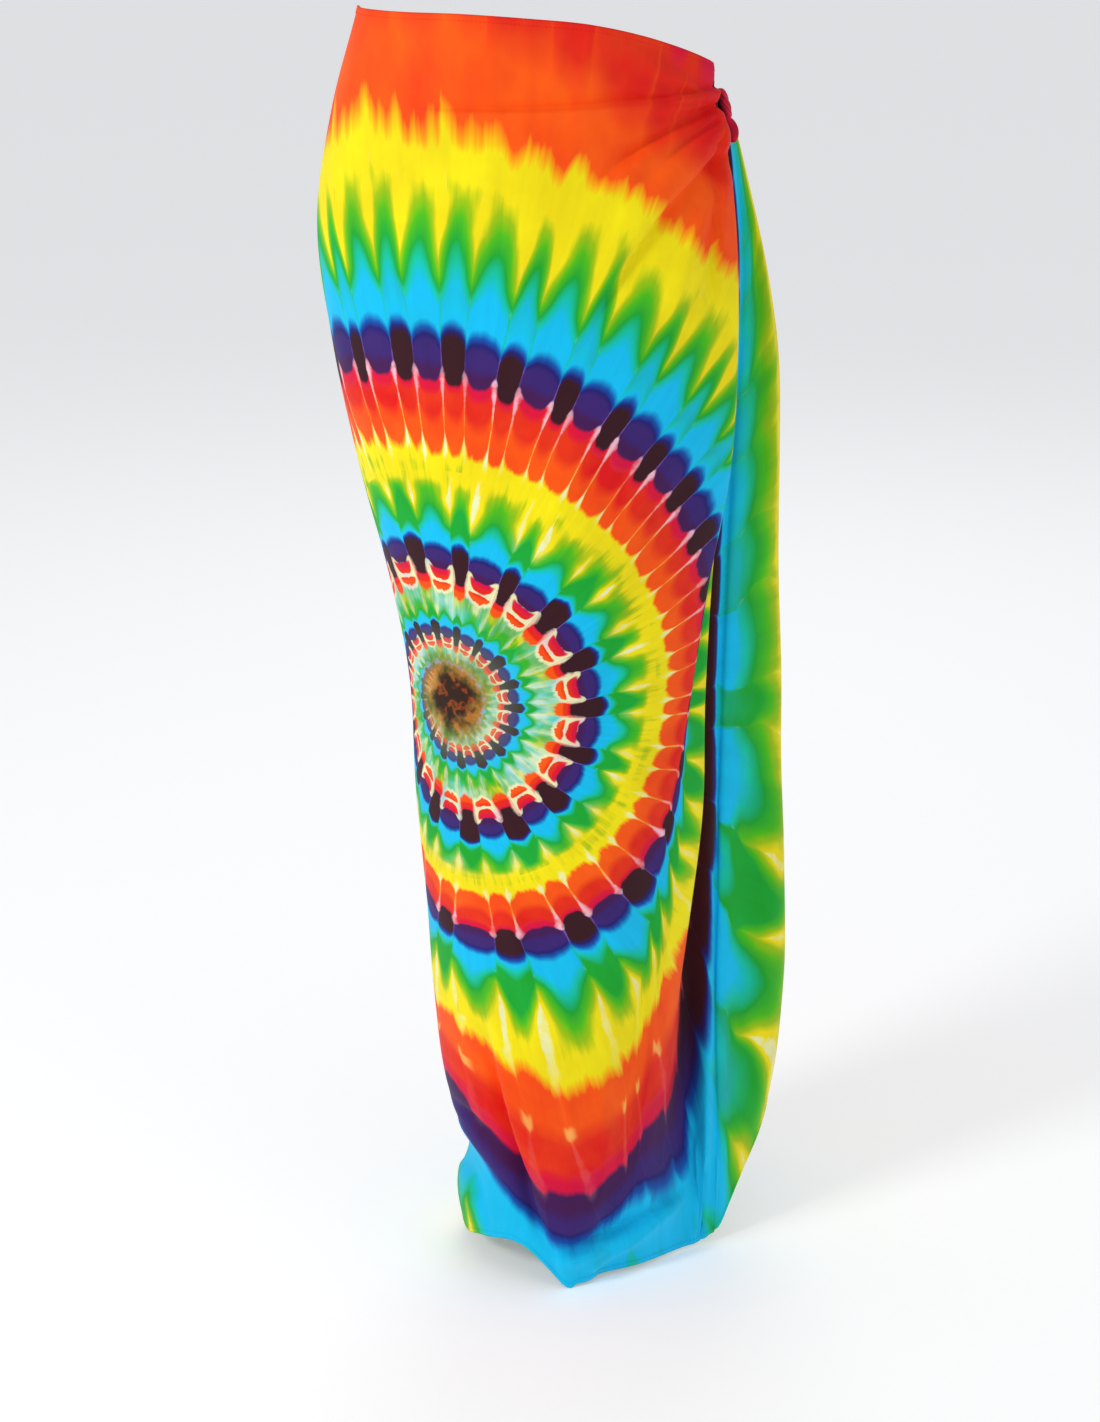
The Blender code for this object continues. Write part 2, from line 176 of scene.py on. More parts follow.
@dataclass(frozen=True)
class WrapForm:
    """The worn shape of the cloth, from its level cuts."""

    front: SectionTable = SectionTable(
        ("z", "left", "front", "mid", "crest1_x", "crest1_y", "valley1_x", "valley1_y",
         "crest2_x", "crest2_y", "valley2_x", "valley2_y"),
        (
            (0.000, -0.138, -0.098, 0.000, 0.136, -0.042, 0.1395, -0.035, 0.1420, -0.027, 0.1425, -0.018),
            (-0.080, -0.161, -0.106, 0.000, 0.150, -0.046, 0.1480, -0.036, 0.1510, -0.028, 0.1490, -0.018),
            (-0.170, -0.175, -0.114, 0.002, 0.165, -0.048, 0.1580, -0.037, 0.1640, -0.029, 0.1580, -0.018),
            (-0.270, -0.165, -0.117, 0.004, 0.168, -0.049, 0.1565, -0.037, 0.1640, -0.029, 0.1540, -0.017),
            (-0.370, -0.146, -0.116, 0.006, 0.165, -0.049, 0.1510, -0.037, 0.1600, -0.028, 0.1470, -0.015),
            (-0.470, -0.121, -0.113, 0.008, 0.148, -0.048, 0.1400, -0.038, 0.1530, -0.026, 0.1420, -0.012),
            (-0.570, -0.105, -0.110, 0.010, 0.133, -0.054, 0.1350, -0.043, 0.1500, -0.027, 0.1395, -0.010),
            (-0.660, -0.102, -0.108, 0.012, 0.118, -0.068, 0.1320, -0.052, 0.1490, -0.030, 0.1370, -0.009),
            (-0.760, -0.094, -0.107, 0.016, 0.102, -0.077, 0.1220, -0.061, 0.1405, -0.036, 0.1350, -0.008),
            (-0.860, -0.088, -0.106, 0.020, 0.088, -0.084, 0.1100, -0.069, 0.1270, -0.046, 0.1350, -0.008),
            (-0.950, -0.077, -0.105, 0.024, 0.078, -0.087, 0.1000, -0.073, 0.1160, -0.054, 0.1390, -0.011),
            (-1.009, -0.058, -0.105, 0.027, 0.070, -0.087, 0.0930, -0.075, 0.1100, -0.061, 0.1440, -0.019),
            (-1.050, -0.069, -0.108, 0.029, 0.066, -0.088, 0.0890, -0.077, 0.1080, -0.066, 0.1460, -0.028),
            (-1.100, -0.060, -0.104, 0.029, 0.062, -0.087, 0.0860, -0.076, 0.1060, -0.064, 0.1440, -0.032),
        ),
    )
    cascade: SectionTable = SectionTable(
        ("z", "crest3_x", "crest3_y", "dip_x", "dip_y", "crest4_x", "crest4_y",
         "side_x", "side_y", "corner_x", "corner_y", "edge_x", "edge_y"),
        (
            (-0.080, 0.157, -0.013, 0.1590, -0.007, 0.162, -0.003, 0.163, 0.006, 0.162, 0.014, 0.159, 0.021),
            (-0.120, 0.164, -0.013, 0.1660, -0.005, 0.170, 0.000, 0.174, 0.010, 0.172, 0.024, 0.168, 0.036),
            (-0.170, 0.169, -0.012, 0.1710, -0.003, 0.178, 0.002, 0.186, 0.016, 0.184, 0.038, 0.176, 0.058),
            (-0.270, 0.170, -0.010, 0.1730, 0.000, 0.182, 0.004, 0.207, 0.028, 0.200, 0.064, 0.176, 0.092),
            (-0.370, 0.162, -0.008, 0.1680, 0.002, 0.181, 0.004, 0.212, 0.034, 0.203, 0.076, 0.168, 0.108),
            (-0.470, 0.158, -0.009, 0.1650, 0.000, 0.177, 0.001, 0.214, 0.035, 0.204, 0.082, 0.160, 0.112),
            (-0.570, 0.157, -0.010, 0.1630, -0.001, 0.175, -0.001, 0.218, 0.035, 0.207, 0.084, 0.155, 0.112),
            (-0.660, 0.157, -0.012, 0.1630, -0.002, 0.174, -0.002, 0.222, 0.035, 0.210, 0.086, 0.153, 0.112),
            (-0.760, 0.157, -0.014, 0.1630, -0.003, 0.174, -0.003, 0.226, 0.035, 0.213, 0.088, 0.152, 0.112),
            (-0.860, 0.157, -0.018, 0.1635, -0.006, 0.174, -0.005, 0.229, 0.036, 0.216, 0.089, 0.152, 0.112),
            (-0.950, 0.157, -0.024, 0.1650, -0.012, 0.175, -0.009, 0.222, 0.036, 0.214, 0.088, 0.152, 0.110),
            (-1.009, 0.157, -0.029, 0.1660, -0.017, 0.177, -0.013, 0.211, 0.032, 0.208, 0.084, 0.150, 0.106),
            (-1.100, 0.155, -0.028, 0.1640, -0.018, 0.174, -0.013, 0.195, 0.022, 0.196, 0.072, 0.146, 0.098),
        ),
    )
    back: SectionTable = SectionTable(
        ("z", "back", "right", "end_x", "end_y"),
        (
            (0.000, 0.098, 0.1330, 0.076, -0.0700),
            (-0.080, 0.112, 0.1400, 0.082, -0.0780),
            (-0.170, 0.124, 0.1490, 0.088, -0.0860),
            (-0.270, 0.122, 0.1450, 0.088, -0.0880),
            (-0.370, 0.112, 0.1380, 0.084, -0.0870),
            (-0.470, 0.101, 0.1320, 0.078, -0.0860),
            (-0.570, 0.094, 0.1290, 0.072, -0.0840),
            (-0.660, 0.091, 0.1260, 0.066, -0.0820),
            (-0.760, 0.090, 0.1235, 0.062, -0.0800),
            (-0.860, 0.090, 0.1210, 0.058, -0.0790),
            (-0.950, 0.091, 0.1190, 0.056, -0.0780),
            (-1.009, 0.091, 0.1180, 0.055, -0.0770),
            (-1.100, 0.090, 0.1170, 0.054, -0.0760),
        ),
    )
    outer_stations: tuple[Station, ...] = (
        Station("left", 13, 0.000, -1.086),
        Station("left_front_1", 13, 0.000, -1.080),
        Station("left_front_2", 13, 0.000, -1.064),
        Station("left_front_3", 13, 0.000, -1.062),
        Station("mid", 17, -0.003, -1.0985),
        Station("right_front_1", 18, -0.008, -1.0985),
        Station("right_front_2", 17, -0.020, -1.0980),
        Station("crest1", 8, -0.039, -1.0970),
        Station("valley1", 7, -0.045, -1.0970),
        Station("crest2", 9, -0.051, -1.0970),
        Station("valley2", 9, -0.060, -1.0980),
        Station("crest3", 5, -0.090, -1.0960),
        Station("dip", 6, -0.091, -1.0920),
        Station("crest4", 13, -0.092, -1.0800),
        Station("side", 12, -0.094, -1.0100),
        Station("corner", 10, -0.098, -0.9800),
        Station("edge", 0, -0.104, -0.9600),
    )
    back_stations: tuple[Station, ...] = (
        Station("left", 17, 0.000, -1.086),
        Station("left_back", 17, -0.014, -1.084),
        Station("back", 17, -0.022, -1.082),
        Station("right_back", 17, -0.036, -1.080),
        Station("right", 12, -0.048, -1.078),
        Station("overlap", 10, -0.050, -1.076),
        Station("end", 0, -0.044, -1.076),
    )
    right_side_y: float = 0.012
    overlap_bend: float = 0.60

    def stations(self, stretch: Stretch) -> tuple[Station, ...]:
        """The stations of one stretch."""
        return self.outer_stations if stretch is Stretch.OUTER else self.back_stations

    def height(self, stretch: Stretch, t: Array, v: Array) -> Array:
        """Heights at v, from 0 at the top edge to 1 at the hem."""
        stations = self.stations(stretch)
        tops = along([np.full(t.size, s.top) for s in stations], t)
        hems = along([np.full(t.size, s.hem) for s in stations], t)
        return tops + (hems - tops) * v

    def place(self, stretch: Stretch, t: Array, v: Array) -> Array:
        """Gives points of the plain, uncreased cloth.

        Args:
            stretch: which sheet of the cloth.
            t: places across, counted in stations.
            v: places down, from 0 at the top edge to 1 at the hem.

        Returns:
            An array of points.
        """
        z = self.height(stretch, t, v)
        xs, ys = self._outer_plan(z) if stretch is Stretch.OUTER else self._back_plan(z)
        return np.stack([along(xs, t, 1.0), along(ys, t, -1.0), z], axis=1)

    def _outer_plan(self, z: Array) -> tuple[list[Array], list[Array]]:
        """x and y of every station from the left side to the free edge."""
        left, front, mid = (self.front.read(name, z) for name in ("left", "front", "mid"))
        crest_x = self.front.read("crest1_x", z)
        crest_y = self.front.read("crest1_y", z)
        points = []
        for turn in np.radians((0.0, 22.5, 45.0, 67.5, 90.0)):
            points.append((mid + (left - mid) * math.cos(turn), front * math.sin(turn)))
        for across, back in ((0.35, 0.094), (0.70, 0.42)):
            points.append((mid + (crest_x - mid) * across, front + (crest_y - front) * back))
        for table, names in ((self.front, ("crest1", "valley1", "crest2", "valley2")),
                             (self.cascade, ("crest3", "dip", "crest4", "side", "corner", "edge"))):
            for name in names:
                points.append((table.read(name + "_x", z), table.read(name + "_y", z)))
        return [p[0] for p in points], [p[1] for p in points]

    def _back_plan(self, z: Array) -> tuple[list[Array], list[Array]]:
        """x and y of every station from the left side round the back to the inner end."""
        left, mid = self.front.read("left", z), self.front.read("mid", z)
        back, right, end_x, end_y = (self.back.read(n, z) for n in self.back.columns[1:])
        half = math.sqrt(0.5)
        bend = self.overlap_bend
        xs = [left, mid + (left - mid) * half, mid, mid + (right - mid) * half, right,
              bend * right + (1 - bend) * end_x, end_x]
        ys = [0 * z, back * half, back, back * half, self.right_side_y + 0 * z, end_y * half, end_y]
        return xs, ys


@dataclass(frozen=True)
class Crease:
    """A crease on the front, drawn in x and z.

    sag bows the line, height lifts the cloth along it over a half width, and
    step raises the cloth on its upper side and lowers it below.
    """

    name: str
    start: tuple[float, float]
    end: tuple[float, float]
    sag: float
    height: float
    width: float
    step: float = 0.0
    fade_in: float = 40.0
    fade_out: float = 14.0

    def lift(self, x: Array, z: Array) -> Array:
        """How far this crease lifts the cloth at x and z."""
        dx, dz = self.end[0] - self.start[0], self.end[1] - self.start[1]
        length = math.hypot(dx, dz)
        ux, uz = dx / length, dz / length
        run = ((x - self.start[0]) * ux + (z - self.start[1]) * uz) / length
        away = -(x - self.start[0]) * uz + (z - self.start[1]) * ux
        away = away + self.sag * 4.0 * run * (1.0 - run)
        near = bell(away / self.width)
        wide = bell(away / (4.0 * self.width))
        fade = (1.0 / (1.0 + np.exp(np.clip(-(run + 0.02) * self.fade_in, -60, 60)))
                / (1.0 + np.exp(np.clip((run - 0.85) * self.fade_out, -60, 60))))
        return (self.height * near + self.step * np.tanh(away / self.width) * wide) * fade


@dataclass(frozen=True)
class LongFold:
    """A fold down the cloth, drawn in stations across and height."""

    name: str
    start: tuple[float, float]
    end: tuple[float, float]
    height: float
    width: float
    sway: float = 0.0

    def lift(self, t: Array, z: Array) -> Array:
        """How far this fold lifts the cloth at t and z."""
        run = (z - self.start[1]) / (self.end[1] - self.start[1])
        line = self.start[0] + (self.end[0] - self.start[0]) * run
        line = line + self.sway * np.sin(run * math.pi * 2.0)
        fade = smooth_step(0.0, 0.25, run) * (1.0 - smooth_step(0.75, 1.0, run))
        return self.height * bell((t - line) / self.width) * fade


@dataclass(frozen=True)
class KnotGathers:
    """Small tucks that fan out over the front from where the cloth is tied."""

    centre: tuple[float, float] = (0.158, -0.072)
    reach: float = 0.115
    tucks: float = 15.0
    height: float = 0.0013

    def lift(self, x: Array, z: Array) -> Array:
        """How far the tucks lift the cloth at x and z."""
        dx, dz = self.centre[0] - x, self.centre[1] - z
        away = np.hypot(dx, dz)
        angle = np.arctan2(dz, dx)
        wave = np.sin(angle * self.tucks + 5.0 * np.sin(angle * 2.3) + away * 9.0)
        return self.height * wave * np.exp(-away / self.reach) * smooth_step(0.0, 0.03, away)


FRONT_CREASES = (
    Crease("waist pull", (0.156, -0.060), (-0.090, -0.071), -0.004, -0.0030, 0.0020, 0.0036, 60, 10),
    Crease("upper gather", (0.150, -0.075), (0.048, -0.132), 0.006, -0.0058, 0.0040, 0.0034, 60, 12),
    Crease("middle gather", (0.152, -0.113), (0.050, -0.240), 0.010, -0.0066, 0.0042, -0.0038, 60, 12),
    Crease("between gathers", (0.148, -0.094), (0.062, -0.180), 0.006, 0.0042, 0.0100),
    Crease("short gather", (0.150, -0.086), (0.104, -0.114), 0.002, -0.0034, 0.0032, 0.0018, 60),
    Crease("low gather", (0.153, -0.128), (0.108, -0.260), 0.005, 0.0034, 0.0080),
    Crease("side pleat", (0.1500, -0.098), (0.1480, -0.236), 0.000, -0.0044, 0.0026, 0.0034, 40, 20),
    Crease("hip drape", (0.120, -0.260), (0.020, -0.470), 0.030, 0.0034, 0.0220),
    Crease("thigh drape", (0.138, -0.360), (0.060, -0.640), 0.020, -0.0034, 0.0180),
    Crease("shin rise", (-0.022, -0.732), (0.010, -0.930), -0.006, 0.0022, 0.0100),
    Crease("shin fold", (-0.034, -0.860), (0.023, -1.058), 0.007, 0.0040, 0.0056, 0.0074, 20, 10),
    Crease("shin shadow", (-0.036, -0.900), (0.014, -1.062), 0.006, -0.0096, 0.0056, 0.0, 20, 12),
    Crease("hem tip", (0.019, -1.044), (0.031, -1.104), 0.000, 0.0042, 0.0060, 0.0, 24, 4),
    Crease("shin side", (0.060, -0.900), (0.078, -1.050), 0.004, 0.0024, 0.0120),
    Crease("ankle trough", (-0.064, -0.952), (0.010, -1.018), -0.005, -0.0058, 0.0058, -0.0024, 30, 12),
    Crease("ankle ridge", (-0.064, -0.975), (-0.004, -1.026), -0.006, 0.0030, 0.0085),
    Crease("hem turn", (0.026, -1.064), (0.150, -1.036), 0.006, -0.0066, 0.0042, -0.0076, 30, 14),
    Crease("hem puff", (0.052, -1.084), (0.104, -1.064), 0.000, 0.0052, 0.0070),
    Crease("left hem billow", (-0.062, -1.030), (-0.026, -1.075), 0.000, 0.0034, 0.0120),
    Crease("left hem tuck", (-0.050, -1.020), (-0.034, -1.064), 0.000, -0.0026, 0.0045),
)
LONG_FOLDS = (
    LongFold("outer fold", (13.55, -0.130), (13.82, -0.470), 0.0032, 0.13, 0.03),
    LongFold("outer trough", (13.30, -0.150), (13.48, -0.430), -0.0026, 0.12, 0.02),
    LongFold("blue ridge", (12.45, -0.240), (12.50, -0.980), 0.0012, 0.25, 0.05),
    LongFold("green dip", (13.42, -0.520), (13.30, -1.060), -0.0030, 0.22, 0.06),
    LongFold("green ridge", (13.78, -0.640), (13.70, -1.040), 0.0022, 0.16, -0.04),
    LongFold("rear trough", (14.45, -0.220), (14.50, -1.000), -0.0060, 0.24, 0.05),
    LongFold("rear ridge", (15.10, -0.260), (15.20, -1.000), 0.0045, 0.22, -0.04),
    LongFold("edge roll", (15.75, -0.300), (15.75, -0.970), -0.0040, 0.16, 0.03),
    LongFold("hem bunch 1", (10.35, -0.985), (10.10, -1.110), 0.0050, 0.20, 0.05),
    LongFold("hem bunch 2", (11.20, -1.010), (10.90, -1.110), -0.0040, 0.22, 0.04),
    LongFold("hem bunch 3", (12.20, -1.000), (12.05, -1.110), 0.0036, 0.26, 0.03),
)
BACK_FOLDS = (
    LongFold("left rear", (0.62, -0.300), (0.70, -1.180), -0.0070, 0.18, 0.04),
    LongFold("left seat", (1.38, -0.230), (1.30, -1.160), -0.0104, 0.20, 0.05),
    LongFold("left ridge", (1.02, -0.360), (1.00, -1.150), 0.0042, 0.14, -0.03),
    LongFold("middle", (2.18, -0.260), (2.05, -1.180), -0.0088, 0.18, 0.05),
    LongFold("middle ridge", (1.76, -0.420), (1.70, -1.120), 0.0040, 0.13, 0.03),
    LongFold("right seat", (2.92, -0.210), (2.80, -1.170), -0.0108, 0.20, -0.05),
    LongFold("right ridge", (2.55, -0.340), (2.48, -1.150), 0.0044, 0.13, 0.04),
    LongFold("waist tuck left", (1.20, 0.010), (1.32, -0.160), -0.0026, 0.09, 0.02),
    LongFold("waist tuck right", (2.75, 0.000), (2.62, -0.150), -0.0028, 0.09, 0.02),
)


class Graph:
    """A short way to write shader nodes."""

    def __init__(self, tree: bpy.types.NodeTree) -> None:
        """Takes the node tree that the nodes go into."""
        self.tree = tree

    def node(self, kind: str, **settings: object) -> bpy.types.Node:
        """Adds a node and sets its properties."""
        made = self.tree.nodes.new(kind)
        for name, value in settings.items():
            setattr(made, name, value)
        return made

    def put(self, socket: Socket, value: object) -> None:
        """Links a socket, or sets its own value."""
        if isinstance(value, Socket):
            self.tree.links.new(value, socket)
        else:
            socket.default_value = value

    def give(self, node: bpy.types.Node, values: dict[str, object]) -> None:
        """Puts values into a node's named sockets."""
        for name, value in values.items():
            self.put(node.inputs[name], value)

    def fill(self, kind: str, *values: object, **settings: object) -> bpy.types.Node:
        """Adds a node and puts values into its first sockets."""
        made = self.node(kind, **settings)
        for socket, value in zip(made.inputs, values):
            self.put(socket, value)
        return made

    def math(self, operation: str, *values: Value, clamp: bool = False) -> Socket:
        """A Math node on one to three values."""
        return self.fill("ShaderNodeMath", *values, operation=operation, use_clamp=clamp).outputs[0]

    def add(self, a: Value, b: Value) -> Socket:
        """a plus b."""
        return self.math("ADD", a, b)

    def sub(self, a: Value, b: Value) -> Socket:
        """a less b."""
        return self.math("SUBTRACT", a, b)

    def mul(self, a: Value, b: Value, c: Value | None = None) -> Socket:
        """a times b, and times c where it is given."""
        product = self.math("MULTIPLY", a, b)
        return product if c is None else self.math("MULTIPLY", product, c)

    def fma(self, a: Value, b: Value, c: Value) -> Socket:
        """a times b, plus c."""
        return self.math("MULTIPLY_ADD", a, b, c)

    def less(self, part: Value) -> Socket:
        """1 less a part."""
        return self.sub(1.0, part)

    def damp(self, mask: Value, strength: float) -> Socket:
        """1 where the mask is 0, and less by the strength where it is 1."""
        return self.fma(mask, -strength, 1.0)

    def span(self, value: Value, low: float, high: float, to_low: float = 0.0,
             to_high: float = 1.0) -> Socket:
        """A smooth Map Range."""
        return self.fill("ShaderNodeMapRange", value, low, high, to_low, to_high,
                         interpolation_type="SMOOTHSTEP").outputs[0]

    def fade(self, value: Value, places: Fade) -> Socket:
        """Goes smoothly from 0 at the first place to 1 at the second, which may be the lower one."""
        rises = places[0] < places[1]
        return self.span(value, min(places), max(places), 1.0 - rises, float(rises))

    def window(self, value: Value, places: Window) -> Socket:
        """Fades in between the first two places and out between the last two."""
        return self.mul(self.fade(value, places[:2]), self.fade(value, places[:1:-1]))

    def mix(self, share: Value, first: object, second: object) -> Socket:
        """Mixes two colours."""
        made = self.node("ShaderNodeMix", data_type="RGBA")
        for index, value in ((0, share), (6, first), (7, second)):
            self.put(made.inputs[index], value)
        return made.outputs[2]

    def noise(self, vector: Socket, scale: float, detail: float = 2.0, roughness: float = 0.5) -> Socket:
        """A Noise value from 0 to 1."""
        made = self.node("ShaderNodeTexNoise")
        self.give(made, {"Vector": vector, "Scale": scale, "Detail": detail, "Roughness": roughness})
        return made.outputs["Fac"]

    def ramp(self, share: Value, stops: Stops) -> Socket:
        """A colour ramp through (place, colour) stops."""
        made = self.node("ShaderNodeValToRGB")
        ramp = made.color_ramp
        while len(ramp.elements) > 1:
            ramp.elements.remove(ramp.elements[-1])
        ramp.elements[0].position = stops[0][0]
        ramp.elements[0].color = (*stops[0][1], 1.0)
        for place, colour in stops[1:]:
            ramp.elements.new(place).color = (*colour, 1.0)
        self.put(made.inputs[0], share)
        return made.outputs[0]

    def vector(self, x: Value, y: Value, z: Value = 0.0) -> Socket:
        """Puts three values together."""
        return self.fill("ShaderNodeCombineXYZ", x, y, z).outputs[0]

    def plane(self, vector: Socket) -> tuple[Socket, Socket]:
        """The x and y of a vector."""
        made = self.fill("ShaderNodeSeparateXYZ", vector)
        return made.outputs[0], made.outputs[1]


def new_group(name: str, inputs: dict[str, str], outputs: dict[str, str]) -> tuple[Graph, dict, dict]:
    """Makes an empty shader node group.

    Args:
        name: the group's name.
        inputs: the socket type of each input, by name.
        outputs: the socket type of each output, by name.

    Returns:
        Its graph, its input sockets and its output sockets by name.
    """
    tree = bpy.data.node_groups.new(name, "ShaderNodeTree")
    for way, sockets in (("INPUT", inputs), ("OUTPUT", outputs)):
        for label, kind in sockets.items():
            tree.interface.new_socket(name=label, in_out=way, socket_type="NodeSocket" + kind)
    graph = Graph(tree)
    source = graph.node("NodeGroupInput")
    sink = graph.node("NodeGroupOutput")
    return (graph, {label: source.outputs[label] for label in inputs},
            {label: sink.inputs[label] for label in outputs})


@dataclass(frozen=True)
class DyePalette:
    """The dyes of one turn of the spiral, in linear colour, going outwards."""

    maroon: Colour = (0.036, 0.004, 0.009)
    plum: Colour = (0.058, 0.006, 0.085)
    purple: Colour = (0.042, 0.014, 0.165)
    navy: Colour = (0.010, 0.008, 0.160)
    blue: Colour = (0.000, 0.090, 0.430)
    sky: Colour = (0.000, 0.540, 0.900)
    teal: Colour = (0.000, 0.560, 0.360)
    pine: Colour = (0.000, 0.500, 0.240)
    green: Colour = (0.005, 0.400, 0.030)
    leaf: Colour = (0.080, 0.530, 0.004)
    lime: Colour = (0.360, 0.560, 0.000)
    yellow: Colour = (0.940, 0.780, 0.000)
    amber: Colour = (1.000, 0.380, 0.000)
    orange: Colour = (1.000, 0.090, 0.000)
    red: Colour = (0.830, 0.022, 0.003)
    crimson: Colour = (0.760, 0.000, 0.040)
    cream: Colour = (0.880, 0.920, 0.520)
    peach: Colour = (1.000, 0.420, 0.160)
    apricot: Colour = (1.000, 0.460, 0.100)
    pale_blue: Colour = (0.300, 0.700, 0.780)
    pale_pink: Colour = (0.900, 0.680, 0.660)
    blush: Colour = (1.000, 0.560, 0.660)
    violet: Colour = (0.190, 0.085, 0.400)
    haze: Colour = (0.260, 0.500, 0.360)
    moss: Colour = (0.130, 0.170, 0.012)
    ochre: Colour = (0.560, 0.220, 0.008)
    soot: Colour = (0.012, 0.005, 0.003)
    umber: Colour = (0.035, 0.011, 0.004)
    rust: Colour = (0.300, 0.050, 0.004)
    olive: Colour = (0.070, 0.035, 0.006)
    pitch: Colour = (0.020, 0.018, 0.004)

    def stops(self, *named: tuple[float, str]) -> Stops:
        """Ramp stops from places and the names of dyes."""
        return tuple((place, getattr(self, name)) for place, name in named)

    def warm_end(self) -> Stops:
        """The stops that both kinds of fold share, from lime to crimson."""
        return self.stops((0.486, "lime"), (0.524, "yellow"), (0.592, "yellow"), (0.618, "amber"),
                          (0.640, "orange"), (0.735, "orange"), (0.790, "red"), (0.860, "red"),
                          (0.892, "crimson"))

    def outer_folds(self) -> Stops:
        """Stops for folds on the outside of the bundle: purple, then sky blue."""
        start = self.stops((0.000, "purple"), (0.060, "purple"), (0.085, "navy"), (0.108, "blue"),
                           (0.140, "sky"), (0.255, "sky"), (0.320, "teal"), (0.375, "green"), (0.440, "leaf"))
        return start + self.warm_end() + self.stops(
            (0.914, "crimson"), (0.928, "plum"), (0.965, "plum"), (1.000, "purple"))

    def inner_folds(self) -> Stops:
        """Stops for folds on the inside: near-black maroon, then green. They also paint the shade in the
        upper part of the hidden gathers.
        """
        start = self.stops((0.000, "maroon"), (0.075, "maroon"), (0.098, "navy"), (0.122, "blue"),
                           (0.150, "sky"), (0.190, "teal"), (0.240, "green"), (0.400, "green"),
                           (0.445, "leaf"))
        return start + self.warm_end() + self.stops((0.905, "maroon"), (1.000, "maroon"))

    def line_colours(self) -> Stops:
        """Colours of the undyed lines between folds."""
        return self.stops((0.00, "violet"), (0.07, "violet"), (0.11, "blue"), (0.16, "teal"), (0.30, "pine"),
                          (0.40, "lime"), (0.50, "cream"), (0.60, "cream"), (0.66, "amber"), (0.74, "peach"),
                          (0.81, "blush"), (0.93, "blush"), (0.95, "violet"), (1.00, "violet"))

    def bare_cloth(self) -> Stops:
        """Nearly undyed cloth: cream, with pale blue and pink where dye crept in."""
        return self.stops((0.34, "pale_blue"), (0.46, "cream"), (0.56, "cream"), (0.68, "pale_pink"))

    def cool_cloth(self) -> Stops:
        """The cool dye that takes the place of yellow near the middle."""
        return self.stops((0.40, "green"), (0.50, "teal"), (0.60, "pale_blue"))

    def rim(self) -> Stops:
        """The stained edge of the muddy middle."""
        return self.stops((0.40, "moss"), (0.56, "ochre"))

    def core(self) -> Stops:
        """The muddy middle and its flecks."""
        return self.stops((0.0, "soot"), (0.52, "umber"), (0.60, "rust"), (0.66, "olive"), (1.0, "pitch"))


@dataclass(frozen=True)
class DyeRegions:
    """Where each rule of the dye holds.

    A Fade goes from 0 at its first place to 1 at its second. A Window fades in
    between its first two places and out between its last two. A Span goes
    between its first two places from its third value to its fourth. The first
    group lies on the flat cloth: by distance from the middle, by the cosine of
    the turn, or across and up. The second group lies along one turn of the
    spiral. The last reads the noises and the bulge of each fold.
    """

    near: Fade = (0.165, 0.110)
    middle_ring: Fade = (0.29, 0.22)
    middle_tilt: Span = (0.10, 0.26, 0.15, 0.0)
    core_haze: Span = (0.035, 0.080, 0.22, 0.0)
    core_rim: Span = (0.026, 0.048, 0.90, 0.0)
    core_mud: Fade = (0.032, 0.016)
    upper: Fade = (-0.20, 0.35)
    upper_from: Fade = (0.28, 0.33)
    lower: Fade = (-0.35, -0.70)
    lower_from: Fade = (0.30, 0.36)
    gathers: Window = (0.29, 0.33, 0.545, 0.575)
    # Painted shade: deep marks the upper part of the hidden gathers, which takes the near-black inner-fold
    # dye where the deep valley lies in shadow.
    deep: Fade = (-0.40, -0.30)
    corner_across: Fade = (0.50, 0.60)
    corner_up: Fade = (-0.22, 0.02)

    from_yellow: Fade = (0.48, 0.54)
    to_red: Fade = (0.86, 0.78)
    to_blue: Fade = (0.16, 0.10)
    yellow: Window = (0.42, 0.50, 0.62, 0.70)
    late_yellow: Window = (0.38, 0.48, 0.55, 0.66)
    purple_edge: Window = (0.00, 0.04, 0.14, 0.24)
    ragged: Window = (0.40, 0.55, 0.66, 0.78)
    cool: Window = (0.085, 0.12, 0.58, 0.62)
    warm: Window = (0.46, 0.54, 0.93, 0.97)
    cooled: Window = (0.38, 0.47, 0.60, 0.66)
    spot_height: Fade = (0.026, 0.008)

    folds_apart: Fade = (0.002, 0.016)
    crease_edge: Fade = (-0.09, 0.09)
    line_edge: Fade = (0.0, 0.7)
    line_worn: Fade = (0.36, 0.56)
    line_wander: Span = (0.36, 0.60, 0.40, 1.0)
    blob_edge: Fade = (0.75, 1.30)
    cooled_wander: Span = (0.40, 0.62, 0.85, 0.30)
    spot_breadth: Fade = (0.46, 0.12)


@dataclass(frozen=True)
class DyeNoises:
    """The unevenness of the dye: scale, detail and roughness of each noise.

    streak and wander are drawn out from the middle: how fine they are round
    it, and along it.
    """

    broad: Noise = (7.0, 2.0, 0.5)
    drift: Noise = (5.0, 2.0, 0.5)
    speckle: Noise = (70.0, 3.0, 0.65)
    bare: Noise = (26.0, 2.0, 0.5)
    cool: Noise = (22.0, 2.0, 0.5)
    rim: Noise = (42.0, 3.0, 0.6)
    flecks: Noise = (80.0, 2.0, 0.5)
    mottle: Noise = (18.0, 3.0, 0.55)
    drawn_out: Noise = (1.0, 3.0, 0.55)
    streak: tuple[float, float] = (34.0, 3.0)
    wander: tuple[float, float] = (9.0, 1.2)


